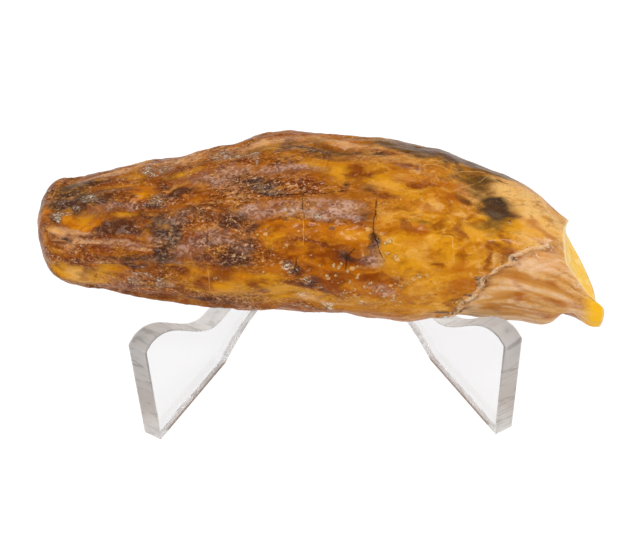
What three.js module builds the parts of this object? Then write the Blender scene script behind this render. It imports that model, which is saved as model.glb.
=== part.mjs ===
// A broken canine tooth of a bear, lying across a clear stand bent from one strip of sheet.
// Millimetres. +Z is up, +X runs from the root to the crown, and the stand is open towards -Y.
// The finished group has its origin at the middle of the bottom of its box.
import * as THREE from "three";

// ---- Tooth: driving dimensions --------------------------------------------------------------

// Sections across the tooth: x, middle y, middle z, half depth (front to back), half height.
// The last two stand beyond the break, where the lost crown would have gone on.
const sections = [
  [-49.5, 28.8, 24.0, 8.2, 7.3],
  [-44, 27.3, 24.1, 9.3, 8.2],
  [-34, 27.3, 24.3, 11.7, 10.1],
  [-25, 27.0, 24.1, 12.7, 11.0],
  [-16, 27.3, 24.9, 15.0, 12.6],
  [-6, 27.5, 25.6, 16.3, 13.6],
  [3, 26.3, 25.6, 16.4, 13.6],
  [13, 24.5, 25.3, 16.1, 13.3],
  [20, 23.5, 25.0, 15.5, 12.8],
  [25, 23.0, 24.1, 14.0, 11.5],
  [31, 20.9, 24.0, 13.1, 10.8],
  [36, 18.5, 23.8, 12.0, 10.0],
  [41, 15.5, 22.7, 9.9, 8.3],
  [46, 13.0, 20.3, 5.6, 4.7],
  [50, 10.0, 17.7, 1.5, 1.3],
];
const rootEnd = -49.5; // x of the blunt end of the root
const rootCap = 4.2; // length over which the root's end rounds off
const rootCapPower = 2.3; // above 2 the end is blunter than an ellipse
const sectionPower = 2.2; // above 2 a section is squarer than an ellipse

// Angles go round the tooth in degrees: 0 faces the front (-Y), 90 the top, 180 the back.
// Edge of the break: angle, x. The crown reaches furthest below and least at the front top.
const breakEdge = [
  [-120, 46.0],
  [-90, 46.2],
  [-60, 46.0],
  [-30, 45.3],
  [0, 45.5],
  [14, 45.5],
  [24, 45.0],
  [31, 42.9],
  [38, 41.6],
  [46, 40.3],
  [53, 38.8],
  [64, 38.3],
  [78, 38.4],
  [90, 39.4],
  [103, 40.8],
  [125, 41.3],
  [150, 41.2],
  [170, 41.5],
  [178, 42.3],
  [184, 43.5],
  [191, 44.4],
  [203, 45.2],
  [220, 45.7],
];
const breakDish = 2.2; // how deep the break is hollowed at its middle
const splinterWall = 0.15; // share of the way in over which the edge drops to the dish

// The cement layer stops at a ledge that climbs across the crown, lowest at ledgeAngle.
const ledgeStart = 19;
const ledgeAngle = -40;
const ledgeSlope = 0.2; // mm of x for each degree round the tooth
const ledgeRound = 20; // degrees over which the ledge turns at its lowest point
const ledgeDrop = 1.15; // step from the cement down to the dentine
const ledgeFade = 9; // mm beyond the ledge in which the step dies out
const ledgeWidth = 0.35; // mm along the tooth that the step takes
const ledgeWave = 0.45; // how far the crumbled ledge wanders
const ledgeFromBreak = 2; // the least distance from the ledge to the break

// A chip is out of the lower edge of the crown, just behind the pointed splinter.
const chip = { x: 39.9, angle: -35, halfLength: 2.9, halfAngle: 34, depth: 2.1 };

// Swellings (+) and hollows (-): x, angle, half length, half width, height.
const lumps = [
  [-43, 93, 5, 4.5, -0.9],
  [-45, 60, 4, 2, 0.5],
  [-37, 78, 7, 1.8, 0.5],
  [-37, 50, 7, 1.8, 0.55],
  [-40, 36, 5, 1.4, -0.5],
  [-42, 12, 4, 3, 0.4],
  [-30, 62, 8, 2.4, -0.35],
  [-28, 30, 9, 3, 0.35],
  [-22, 95, 7, 3, 0.4],
  [-14, 80, 8, 3, -0.3],
  [-6, 112, 5, 3, -0.6],
  [2, 103, 6, 2.6, -0.8],
  [4, 86, 9, 2, 0.45],
  [-3, 68, 9, 1.2, -0.4],
  [-12, 45, 7, 3, 0.3],
  [-20, 15, 8, 3.5, -0.35],
  [8.5, 45, 1.6, 6, -0.45],
  [9, 18, 2.2, 3, -0.4],
  [-3, 18, 3, 2, -0.4],
  [15, 48, 6, 4, 0.35],
  [17, 80, 6, 3, -0.3],
  [24, 112, 8, 2.2, 0.4],
  [27, 78, 3, 3, -0.3],
  [30, 60, 4, 3, 0.3],
  [22.6, -2, 0.9, 1.1, -0.7],
  [29, 40, 1.6, 1.2, -0.5],
  [-38, 150, 7, 6, -0.6],
  [-25, 130, 8, 3, 0.4],
  [-30, 200, 8, 5, 0.5],
  [-12, 165, 10, 4, -0.5],
  [4, 190, 9, 4, 0.5],
  [12, 150, 8, 4, 0.35],
  [22, 170, 6, 5, -0.5],
  [-20, 235, 9, 4, -0.5],
  [0, 250, 9, 4, 0.4],
  [10, 220, 7, 4, -0.45],
  [-36, 270, 7, 5, 0.45],
  [-14, 285, 8, 4, 0.35],
  [8, 290, 8, 3, -0.35],
  [30, 215, 5, 4, 0.4],
];

// Furrows that run along the root: how many go round, height, phase, twist for each mm of x.
const furrows = [
  [7, 0.22, 1.0, 0.06],
  [12, 0.16, 0.4, -0.1],
  [19, 0.12, 2.0, 0.05],
];
// Growth waves that run round the tooth: waves for each mm of x, height, phase, turns round.
const waves = [
  [0.35, 0.18, 0, 2],
  [0.62, 0.12, 1, -3],
];

const anglesRound = 48;
const rootRings = 56;
const crownRings = 13;
const breakRings = 6;
const rootCapRings = [0.05, 0.3, 0.8]; // mm from the root's end

// ---- Stand: driving dimensions --------------------------------------------------------------

const sheet = 3.5; // thickness of the clear sheet
const splay = THREE.MathUtils.degToRad(30.5); // how far each wing leans from +Y
const halfSpan = 28.6; // from the middle to the inner face at a wing's front end
const bendRadius = 3; // inner radius of the bend
const wingEnd = 22.3; // height of a wing's front end
const shoulder = 23.1; // highest point of a wing
const cornerLength = 1.8; // sloping corner between the two
const cradleStart = 2.2; // where the cradle begins to fall, from the front end
const cradleFoot = 20; // where it reaches its floor
const cradleFloor = 11.4;
const spineStart = 36; // where the cradle rises again
const spineHeight = 16.8; // height at the bend
const archMiddle = 33; // the arch cut out under each wing, from the front end
const archHalf = 13;
const archRise = 3.5;
const wingSteps = 24;
const bendSteps = 6;

// ---- Helpers ----------------------------------------------------------------------------------

const { clamp, degToRad, smoothstep, euclideanModulo } = THREE.MathUtils;

// A smooth curve through one column of a table whose first column rises.
function through(table, column, x) {
  const last = table.length - 1;
  const found = table.findIndex((row) => row[0] > x);
  const i = clamp((found < 0 ? last : found) - 1, 0, last - 1);
  const slope = (k) => {
    const before = table[Math.max(k - 1, 0)];
    const after = table[Math.min(k + 1, last)];
    return (after[column] - before[column]) / (after[0] - before[0]);
  };
  const [start, end] = [table[i], table[i + 1]];
  const step = end[0] - start[0];
  const t = (x - start[0]) / step;
  const [t2, t3] = [t * t, t * t * t];
  return (
    (2 * t3 - 3 * t2 + 1) * start[column] +
    (t3 - 2 * t2 + t) * step * slope(i) +
    (3 * t2 - 2 * t3) * end[column] +
    (t3 - t2) * step * slope(i + 1)
  );
}

// The smaller of two numbers, rounded off where they are nearly equal.
function softMin(a, b, blend) {
  const share = clamp(0.5 + (0.5 * (b - a)) / blend, 0, 1);
  return b + (a - b) * share - blend * share * (1 - share);
}

const signedPower = (value, power) => Math.sign(value) * Math.abs(value) ** power;
const wrapDegrees = (angle) => euclideanModulo(angle + 180, 360) - 180;

// A closed skin over rings of points that all have the same count, with a point at each end.
function skin(startPoint, rings, endPoint) {
  const count = rings[0].length;
  const points = [...rings.flat(), startPoint, endPoint];
  const start = points.length - 2;
  const end = points.length - 1;
  const lastRing = (rings.length - 1) * count;
  const index = [];
  for (let j = 0; j < count; j += 1) {
    const next = (j + 1) % count;
    index.push(start, j, next);
    index.push(end, lastRing + next, lastRing + j);
    for (let i = 0; i < rings.length - 1; i += 1) {
      const ring = i * count;
      const following = ring + count;
      index.push(ring + j, following + next, ring + next);
      index.push(ring + j, following + j, following + next);
    }
  }
  const geometry = new THREE.BufferGeometry().setFromPoints(points);
  geometry.setIndex(index);
  geometry.computeVertexNormals();
  return geometry;
}

// ---- Tooth ------------------------------------------------------------------------------------

const edgeTable = [
  ...breakEdge,
  [breakEdge[0][0] + 360, breakEdge[0][1]],
  [breakEdge[1][0] + 360, breakEdge[1][1]],
];

function breakX(angle) {
  return through(edgeTable, 1, euclideanModulo(angle - breakEdge[0][0], 360) + breakEdge[0][0]);
}

function ledgeX(angle) {
  const away = wrapDegrees(angle - ledgeAngle);
  const wander = Math.sin(degToRad(14 * angle)) + 0.6 * Math.sin(degToRad(31 * angle + 70));
  const climb = Math.hypot(away, ledgeRound) - ledgeRound;
  return ledgeStart + ledgeSlope * climb + ledgeWave * wander;
}

// Half depth and half height of the section at x, with the root's end rounded off.
function halfSizes(x) {
  const fromEnd = clamp((x - rootEnd) / rootCap, 0, 1);
  const cap = (1 - (1 - fromEnd) ** rootCapPower) ** (1 / rootCapPower);
  return [through(sections, 3, x) * cap, through(sections, 4, x) * cap];
}

function lumpRelief(x, angle, radius) {
  let height = 0;
  for (const [lumpX, lumpAngle, halfLength, halfWidth, rise] of lumps) {
    const across = degToRad(wrapDegrees(angle - lumpAngle)) * radius;
    height += rise * Math.exp(-(((x - lumpX) / halfLength) ** 2) - (across / halfWidth) ** 2);
  }
  return height;
}

function furrowRelief(x, angle) {
  const round = degToRad(angle);
  const pastTip = smoothstep(x, rootEnd, -44);
  const onRoot = pastTip * (1 - 0.75 * smoothstep(x, -20, 15));
  const beforeCrown = pastTip * (1 - smoothstep(x, 30, 38));
  let height = 0;
  for (const [count, rise, phase, twist] of furrows) {
    height += onRoot * rise * Math.sin(count * round + phase + twist * x);
  }
  for (const [perMm, rise, phase, turns] of waves) {
    height += beforeCrown * rise * Math.sin(perMm * x + turns * round + phase);
  }
  return height;
}

function chipRelief(x, angle) {
  const across = wrapDegrees(angle - chip.angle) / chip.halfAngle;
  return -chip.depth * Math.exp(-(((x - chip.x) / chip.halfLength) ** 2) - across ** 4);
}

function ledgeRelief(x, angle) {
  const beyond = x - ledgeX(angle);
  if (beyond <= 0) {
    return 0;
  }
  const drop = ledgeDrop * smoothstep(breakX(angle) - ledgeX(angle), 0, 3.5);
  return -drop * Math.exp(-beyond / ledgeFade);
}

function toothPoint(x, angle) {
  const [halfDepth, halfHeight] = halfSizes(x);
  const relief =
    lumpRelief(x, angle, (halfDepth + halfHeight) / 2) +
    furrowRelief(x, angle) +
    chipRelief(x, angle) +
    ledgeRelief(x, angle);
  const across = signedPower(Math.cos(degToRad(angle)), 2 / sectionPower);
  const up = signedPower(Math.sin(degToRad(angle)), 2 / sectionPower);
  return new THREE.Vector3(
    x,
    through(sections, 1, x) - (halfDepth + relief) * across,
    through(sections, 2, x) + (halfHeight + relief) * up,
  );
}

// Rings from the root's end to the ledge, then from the foot of the ledge to the break.
function toothRings(angles) {
  const edge = angles.map(breakX);
  const ledge = angles.map((angle, j) => softMin(ledgeX(angle), edge[j] - ledgeFromBreak, 1.5));
  const rings = rootCapRings.map((gap) => angles.map((angle) => toothPoint(rootEnd + gap, angle)));
  for (let i = 1; i <= rootRings; i += 1) {
    const t = i / rootRings;
    const straight = rootEnd + (ledgeStart - rootEnd) * t;
    rings.push(
      angles.map((angle, j) => toothPoint(straight + (ledge[j] - ledgeStart) * t ** 3, angle)),
    );
  }
  for (let i = 0; i <= crownRings; i += 1) {
    const t = i / crownRings;
    rings.push(
      angles.map((angle, j) => {
        const foot = ledge[j] + ledgeWidth;
        return toothPoint(foot + (edge[j] - foot) * t, angle);
      }),
    );
  }
  return rings;
}

// The mean plane of the break, as x at the middle and its slopes along y and z.
function breakPlane(edge, middle) {
  const sums = { yy: 0, yz: 0, zz: 0, xy: 0, xz: 0 };
  for (const point of edge) {
    const [dx, dy, dz] = [point.x - middle.x, point.y - middle.y, point.z - middle.z];
    sums.yy += dy * dy;
    sums.yz += dy * dz;
    sums.zz += dz * dz;
    sums.xy += dx * dy;
    sums.xz += dx * dz;
  }
  const scale = sums.yy * sums.zz - sums.yz * sums.yz;
  const slopeY = (sums.xy * sums.zz - sums.xz * sums.yz) / scale;
  const slopeZ = (sums.xz * sums.yy - sums.xy * sums.yz) / scale;
  return (y, z) => middle.x + slopeY * (y - middle.y) + slopeZ * (z - middle.z);
}

// Rings that run in from the edge of the break to its middle, over a shallow dish.
function dishRings(edge, middle) {
  const plane = breakPlane(edge, middle);
  const rings = [];
  for (let i = 1; i < breakRings; i += 1) {
    const t = i / breakRings;
    const wall = Math.exp(-t / splinterWall);
    rings.push(
      edge.map((point) => {
        const y = THREE.MathUtils.lerp(point.y, middle.y, t);
        const z = THREE.MathUtils.lerp(point.z, middle.z, t);
        const proud = (point.x - plane(point.y, point.z)) * wall;
        return new THREE.Vector3(plane(y, z) - breakDish * t * (2 - t) + proud, y, z);
      }),
    );
  }
  return rings;
}

function buildTooth() {
  const angles = Array.from({ length: anglesRound }, (_, j) => (j * 360) / anglesRound - 180);
  const rings = toothRings(angles);
  const edge = rings.at(-1);
  const middle = new THREE.Vector3();
  edge.forEach((point) => middle.add(point));
  middle.divideScalar(edge.length);
  const rootPoint = new THREE.Vector3(
    rootEnd,
    through(sections, 1, rootEnd),
    through(sections, 2, rootEnd),
  );
  const dish = dishRings(edge, middle);
  const dishPoint = middle.clone().setX(middle.x - breakDish);
  return skin(rootPoint, [...rings, ...dish], dishPoint);
}

// ---- Stand ------------------------------------------------------------------------------------

// The inner face of each wing starts at (halfSpan, 0) and is tangent to the bend.
const bendMiddleY = (halfSpan * Math.cos(splay) - bendRadius) / Math.sin(splay);
const wingLength = halfSpan * Math.sin(splay) + bendMiddleY * Math.cos(splay);
const bendLength = bendRadius * (Math.PI / 2 - splay);

function topHeight(fromEnd) {
  if (fromEnd < cornerLength) {
    return wingEnd + ((shoulder - wingEnd) * fromEnd) / cornerLength;
  }
  const down = clamp((fromEnd - cradleStart) / (cradleFoot - cradleStart), 0, 1);
  const up = clamp((fromEnd - spineStart) / (wingLength + bendLength - spineStart), 0, 1);
  const front = (shoulder - cradleFloor) * (1 + Math.cos(Math.PI * down));
  const spine = (spineHeight - cradleFloor) * (1 - Math.cos(Math.PI * up));
  return cradleFloor + (front + spine) / 2;
}

function undersideHeight(fromEnd) {
  return archRise * Math.max(0, 1 - ((fromEnd - archMiddle) / archHalf) ** 2);
}

// The four corners of the strip, at a length from the front end of the wing on one side.
function stripSection(fromEnd, side) {
  const onWing = Math.min(fromEnd, wingLength);
  const turn = splay + Math.max(0, fromEnd - wingLength) / bendRadius;
  const outward = new THREE.Vector2(side * Math.cos(turn), Math.sin(turn));
  const inner = new THREE.Vector2(0, bendMiddleY).addScaledVector(outward, bendRadius);
  const back = wingLength - onWing;
  inner.x += side * back * Math.sin(splay);
  inner.y -= back * Math.cos(splay);
  const outer = inner.clone().addScaledVector(outward, sheet);
  const top = topHeight(fromEnd);
  const low = undersideHeight(fromEnd);
  return [
    new THREE.Vector3(inner.x, inner.y, top),
    new THREE.Vector3(inner.x, inner.y, low),
    new THREE.Vector3(outer.x, outer.y, low),
    new THREE.Vector3(outer.x, outer.y, top),
  ];
}

function buildStand() {
  const lengths = [0];
  for (let i = 0; i <= wingSteps; i += 1) {
    lengths.push(THREE.MathUtils.lerp(cornerLength, wingLength, i / wingSteps));
  }
  for (let i = 1; i <= bendSteps; i += 1) {
    lengths.push(wingLength + (bendLength * i) / bendSteps);
  }
  const right = lengths.map((length) => stripSection(length, 1));
  const left = lengths.slice(0, -1).map((length) => stripSection(length, -1));
  const rings = [...right, ...left.reverse()];
  const middleOf = (ring) => ring[0].clone().lerp(ring[2], 0.5);
  return skin(middleOf(rings[0]), rings, middleOf(rings.at(-1)));
}

// ---- The part -----------------------------------------------------------------------------------

function namedMesh(name, geometry, colour, roughness) {
  const material = new THREE.MeshStandardMaterial({ color: colour, roughness, metalness: 0 });
  const mesh = new THREE.Mesh(geometry, material);
  mesh.name = name;
  return mesh;
}

const tooth = namedMesh("tooth", buildTooth(), 0xc07a2c, 0.4);
const stand = namedMesh("stand", buildStand(), 0xeceff2, 0.05);
stand.material.transparent = true;
stand.material.opacity = 0.35;

const part = new THREE.Group();
part.add(tooth, stand);
const box = new THREE.Box3().setFromObject(part);
const middle = box.getCenter(new THREE.Vector3());
for (const mesh of part.children) {
  mesh.position.set(-middle.x, -middle.y, -box.min.z);
}

export default part;
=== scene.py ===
"""A fossil bear tooth lying across a clear stand: its finish, its stand and a small studio."""

import itertools
import math

import bpy
import numpy as np
from mathutils import Matrix, Vector


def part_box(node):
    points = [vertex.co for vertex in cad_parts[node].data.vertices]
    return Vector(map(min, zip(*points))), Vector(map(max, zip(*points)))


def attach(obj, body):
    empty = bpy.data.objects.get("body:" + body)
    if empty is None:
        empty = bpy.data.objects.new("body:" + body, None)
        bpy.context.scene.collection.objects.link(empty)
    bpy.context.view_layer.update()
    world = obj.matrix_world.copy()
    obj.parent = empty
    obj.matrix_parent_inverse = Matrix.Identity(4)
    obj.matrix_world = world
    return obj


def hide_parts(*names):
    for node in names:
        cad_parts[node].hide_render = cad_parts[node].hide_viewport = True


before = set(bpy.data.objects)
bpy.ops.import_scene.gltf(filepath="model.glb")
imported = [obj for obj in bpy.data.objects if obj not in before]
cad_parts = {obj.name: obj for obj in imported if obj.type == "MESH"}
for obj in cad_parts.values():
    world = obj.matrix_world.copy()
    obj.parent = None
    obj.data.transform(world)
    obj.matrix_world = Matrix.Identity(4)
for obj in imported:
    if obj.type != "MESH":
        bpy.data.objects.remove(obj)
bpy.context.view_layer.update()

bl_info = {
    "name": "Fossil bear tooth",
    "version": (1, 0, 0),
    "blender": (4, 5, 0),
    "location": "View3D > Sidebar > Fossil",
    "description": "Builds a fossil bear tooth, its clear stand and a studio",
    "category": "Add Mesh",
}

MM = 0.001  # every table and size below is in millimetres, apart from the stage's
FAR_AWAY = 9.0  # a distance beyond the reach of any dot or line
BODY = "root"

# ---- Tooth: shape ---------------------------------------------------------------------------

# x, middle y, middle z, half depth, half height of the sections across the tooth.
SECTIONS = np.array(
    [
        [-49.5, 28.8, 24.0, 8.2, 7.3],
        [-44, 27.3, 24.1, 9.3, 8.2],
        [-34, 27.3, 24.3, 11.7, 10.1],
        [-25, 27.0, 24.1, 12.7, 11.0],
        [-16, 27.3, 24.9, 15.0, 12.6],
        [-6, 27.5, 25.6, 16.3, 13.6],
        [3, 26.3, 25.6, 16.4, 13.6],
        [13, 24.5, 25.3, 16.1, 13.3],
        [20, 23.5, 25.0, 15.5, 12.8],
        [25, 23.0, 24.1, 14.0, 11.5],
        [31, 20.9, 24.0, 13.1, 10.8],
        [36, 18.5, 23.8, 12.0, 10.0],
        [41, 15.5, 22.7, 9.9, 8.3],
        [46, 13.0, 20.3, 5.6, 4.7],
        [50, 10.0, 17.7, 1.5, 1.3],
    ]
)
ROOT_END = -49.5  # x of the blunt end of the root
ROOT_CAP = 4.2  # length over which that end rounds off
ROOT_CAP_POWER = 2.3
SECTION_POWER = 2.2  # above 2 a section is squarer than an ellipse

# Edge of the break: angle, x. Angles go round the tooth: 0 faces the front, 90 the top.
BREAK_EDGE = np.array(
    [
        [-120, 46.0], [-90, 46.2], [-60, 46.0], [-30, 45.3], [0, 45.5], [14, 45.5], [24, 45.0],
        [31, 42.9], [38, 41.6], [46, 40.3], [53, 39.1], [64, 38.9], [78, 38.8], [90, 39.2], [103, 39.9],
        [125, 40.8], [150, 40.9], [170, 41.2], [178, 42.0], [184, 43.1], [191, 44.0], [203, 44.9],
        [220, 45.7], [240, 46.0], [270, 46.2],
    ]
)
BREAK_DISH = 2.2  # how deep the break is hollowed
SPLINTER_WALL = 0.15  # share of the way in over which the edge drops to the dish

LEDGE_START = 19.8  # x where the cement's edge lies lowest
LEDGE_ANGLE = -40  # where that is, round the tooth
LEDGE_SLOPE = 0.16  # how far it climbs for each degree from there
LEDGE_ROUND = 20  # degrees over which its lowest stretch is rounded
LEDGE_DROP = 0.75  # height of the step from the cement down to the crown
LEDGE_FADE = 9  # length over which the step fades out again
LEDGE_WIDTH = 1.0  # width of the step
LEDGE_WAVE = 0.45  # how far its line wanders
LEDGE_WAVES = ((14, 1.0, 0), (31, 0.6, 70))  # waves of that line: how many go round, share, phase
LEDGE_SHOWS = (0.7, 2.6)  # room between it and the break over which it starts to show
LEDGE_TURN = 30  # angle past which it climbs faster, up to the break
LEDGE_STEEPER = 0.08
LEDGE_LIP = 0.28  # how far the cement stands up along it
LEDGE_FROM_BREAK = 0.4  # the least distance from it to the break
LEDGE_BLEND = 1.0  # how softly it turns to run along the break
RINGS_FROM_BREAK = 2.5  # the rings of the mesh keep this far from the break

# A chip out of the crown's lower edge: x, angle, half length, half angle, depth.
CHIP = (40.3, -38, 2.45, 36, 3.25)

# Swellings (+) and hollows (-): x, angle, half length, half width, height.
LUMPS = [
    (-43, 93, 5, 4.5, -0.9), (-45, 60, 4, 2, 0.5), (-37, 78, 7, 1.8, 0.5), (-37, 50, 7, 1.8, 0.55),
    (-40, 36, 5, 1.4, -0.5), (-42, 12, 4, 3, 0.4), (-30, 62, 8, 2.4, -0.35), (-28, 30, 9, 3, 0.35),
    (-22, 95, 7, 3, 0.4), (-14, 80, 8, 3, -0.3), (-6, 112, 5, 3, -0.6), (2, 103, 6, 2.6, -0.8),
    (4, 86, 9, 2, 0.45), (-3, 68, 9, 1.2, -0.4), (-12, 45, 7, 3, 0.3), (-20, 15, 8, 3.5, -0.35),
    (8.5, 45, 1.6, 6, -0.45), (9, 18, 2.2, 3, -0.4), (-3, 18, 3, 2, -0.4), (15, 48, 6, 4, 0.35),
    (17, 80, 6, 3, -0.3), (24, 112, 8, 2.2, 0.4), (27, 78, 3, 3, -0.3), (30, 60, 4, 3, 0.3),
    (22.6, -2, 0.9, 1.1, -0.7), (29, 40, 1.6, 1.2, -0.5), (38.6, 126, 2.4, 8, -0.6),
    (24, 126, 8, 6, 0.55), (22.6, 126, 2, 6, -0.38), (29.5, 126, 2.5, 6, -0.3), (20, -32, 3.5, 5, -0.8),
    (13.5, -32, 3, 4, 0.6), (0, -32, 4, 4, 0.45), (-18.5, -32, 3, 4, 0.35), (-49.2, -5, 1.5, 3, -0.5),
    (-38, 150, 7, 6, -0.6), (-25, 130, 8, 3, 0.4), (-30, 200, 8, 5, 0.5), (-12, 165, 10, 4, -0.5),
    (4, 190, 9, 4, 0.5), (12, 150, 8, 4, 0.35), (22, 170, 6, 5, -0.5), (-20, 235, 9, 4, -0.5),
    (0, 250, 9, 4, 0.4), (10, 220, 7, 4, -0.45), (-36, 270, 7, 5, 0.45), (-14, 285, 8, 4, 0.35),
    (8, 290, 8, 3, -0.35), (30, 215, 5, 4, 0.4),
]

# Furrows along the root: how many go round, height, phase, twist for each mm of x.
FURROWS = [(7, 0.22, 1.0, 0.06), (12, 0.16, 0.4, -0.1), (19, 0.12, 2.0, 0.05)]
# Growth waves round the tooth: waves for each mm of x, height, phase, turns round.
WAVES = [(0.35, 0.18, 0, 2), (0.62, 0.12, 1, -3)]

# Rings of the fine mesh, and how far it stays inside the solid it stands for.
CAP_GAPS = (0.03, 0.12, 0.3, 0.55, 0.85)
WALL_RINGS = 3
TOOTH_INSET = 0.12

# Where the main relief starts and fades along the tooth, as x.
TIP_SMOOTH_TO = -44  # the blunt end stays plain up to here
FURROWS_FADE = (-20, 15)
FURROWS_LOST = 0.75  # share of the furrows that is gone past the fade
WAVES_FADE = (30, 38)
# The ledge's step is lower along the bottom: its share there, and the angles over which it grows.
LOW_STEP = 0.4
STEP_GROWS = (-10, 25)

# Fine relief in the cement: length and width of its grains and their height.
RELIEF_LAYERS = [(9.0, 2.2, 0.26), (3.2, 1.6, 0.16), (1.1, 0.8, 0.07)]
SMOOTHER_FROM = (-5, 15)  # x over which that relief drops to half, towards the crown
ON_CROWN = 0.25  # share of it on the flaked crown
CROWN_RELIEF = (0.1, 0.6)  # mm past the ledge over which it drops to that share
PIT_SPACING = 2.6
PITTED = (0.62, 0.8)  # only dots with higher numbers than these, from 0 to 1, are pits
PIT_RADIUS = (0.22, 0.06)  # how near its dot a pit starts, and is full, as shares of the spacing
PIT_DEPTH = 0.35
GROOVE_WIDTH = 0.25  # of the open cracks
GROOVE_DEPTH = 0.25
GRAIN_HEIGHT = 0.32
CRUST_SPACING = 0.75
CRUST_HEIGHT = 0.28
LIP_PLACE = -0.7  # of the cement's raised edge, from the ledge's line
LIP_WIDTH = 0.6
CRUMBLE_WIDTH = 1.3  # of the crumbling along the ledge
CRUMBLE_LEAST = 0.35  # share of it at the top
CRUMBLE_GROWS = (30, 5)  # angles over which it grows from there
CRUMBLE_LOWER = 0.1  # how far the crumbling goes more into the cement than out
CRUMBLE_SIZE = 0.9
CRUMBLE_HEIGHT = 0.55
STRIPE_HEIGHT = 0.05  # of the lines along the flaked crown
STRIPE_LENGTH = 9
STRIPE_ANGLE = 7.5  # degrees from line to line
STRIPE_TWIST = 0.35  # degrees that they turn for each mm of x
STRIPE_START = 30  # x where that turn is zero
STRIPE_SPREAD = (31, 1.5)  # x below which they spread apart, and how fast
FINE_STRIPES = 0.45  # strength of the finer ones between them
FINE_STRIPE_GRAIN = (1.6, 3.0, 1)  # how much finer those are along, across and through
RIPPLE_HEIGHT = 0.03  # of the shell-like ripples in the break
RIPPLES = 14  # ripples, in radians from the edge to the middle
RIPPLE_WANDER = 2.5  # radians that noise pushes them to and fro
RIPPLE_WANDER_SIZE = 7
ROUGH_HEIGHT = 0.04  # of the grain in the break
ROUGH_SIZE = 1.6

# ---- Tooth: stains and marks ------------------------------------------------------------------

FRONT_SIDE = 45  # angle of the middle of the side that shows from the front
FAR_SIDE = (78, 96)  # degrees from there over which the far side starts
ROOT_FACE = (-46.8, -48.6)  # x over which the root's blunt end starts, which counts as far side
NECK = (0, 20)  # x over which the root turns into the neck

# Noise gives the stains their ragged edges: sizes in mm, with the grain drawn out along the tooth.
STREAKY = [0.45, 1, 1]
BEND_SIZE = 4.0
BEND_ALONG = 1.3
BEND_ROUND = 6.0  # degrees
FRAY_SIZE = 1.7
FRAY = 0.5
FAR_SIZE = 6.0  # of the stains on the far side
FAR_STRENGTH = 1.6
FAR_LIFT = 0.1
STRONGEST = 1.4  # limit of a stain's strength
LINE_JITTER = 0.12  # how far cracks and veins stray
LINE_JITTER_SIZE = 1.1
TOWARDS_CROWN = (0, 16)  # x over which the cleaner cement beside the crown starts
WEATHERING_FADES = (-6, 16)  # x over which most of the weathering stops
WEATHERING_LOST = 0.75  # how much of it stops there
CLEAR_SPARED = 0.9  # how much of it clear stains are spared
CLEAR_SHARES = {"amber": 1.0, "gold": 0.8, "painted_highlight": 0.4}  # how clear each of these is; the pinkish cream one is painted highlight
CROWN_COLOUR = (0.0, 0.5)  # mm past the ledge over which the crown's colour starts
# Bands along the ledge, for the material: middle in mm past the ledge's line, half width.
LEDGE_BAND = (0, 1.0)
LIP_BAND = (-0.3, 0.5)
# The last band is painted shade on the step's wall, below the raised lip.
STEP_SHADE_BAND = (0.9, 0.7)
TIP = (39.5, 44)  # x over which the yellow tip starts
TIP_FROM_BELOW = (-75, -20)  # angles over which it starts
TIP_FROM_ABOVE = (40, 28)
RIM_WIDTH = 0.35  # of the pale line round the break
FULL_ON_BREAK = ("broken", "along", "crown", "inward")  # the numbers that are 1 all over the break

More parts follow.
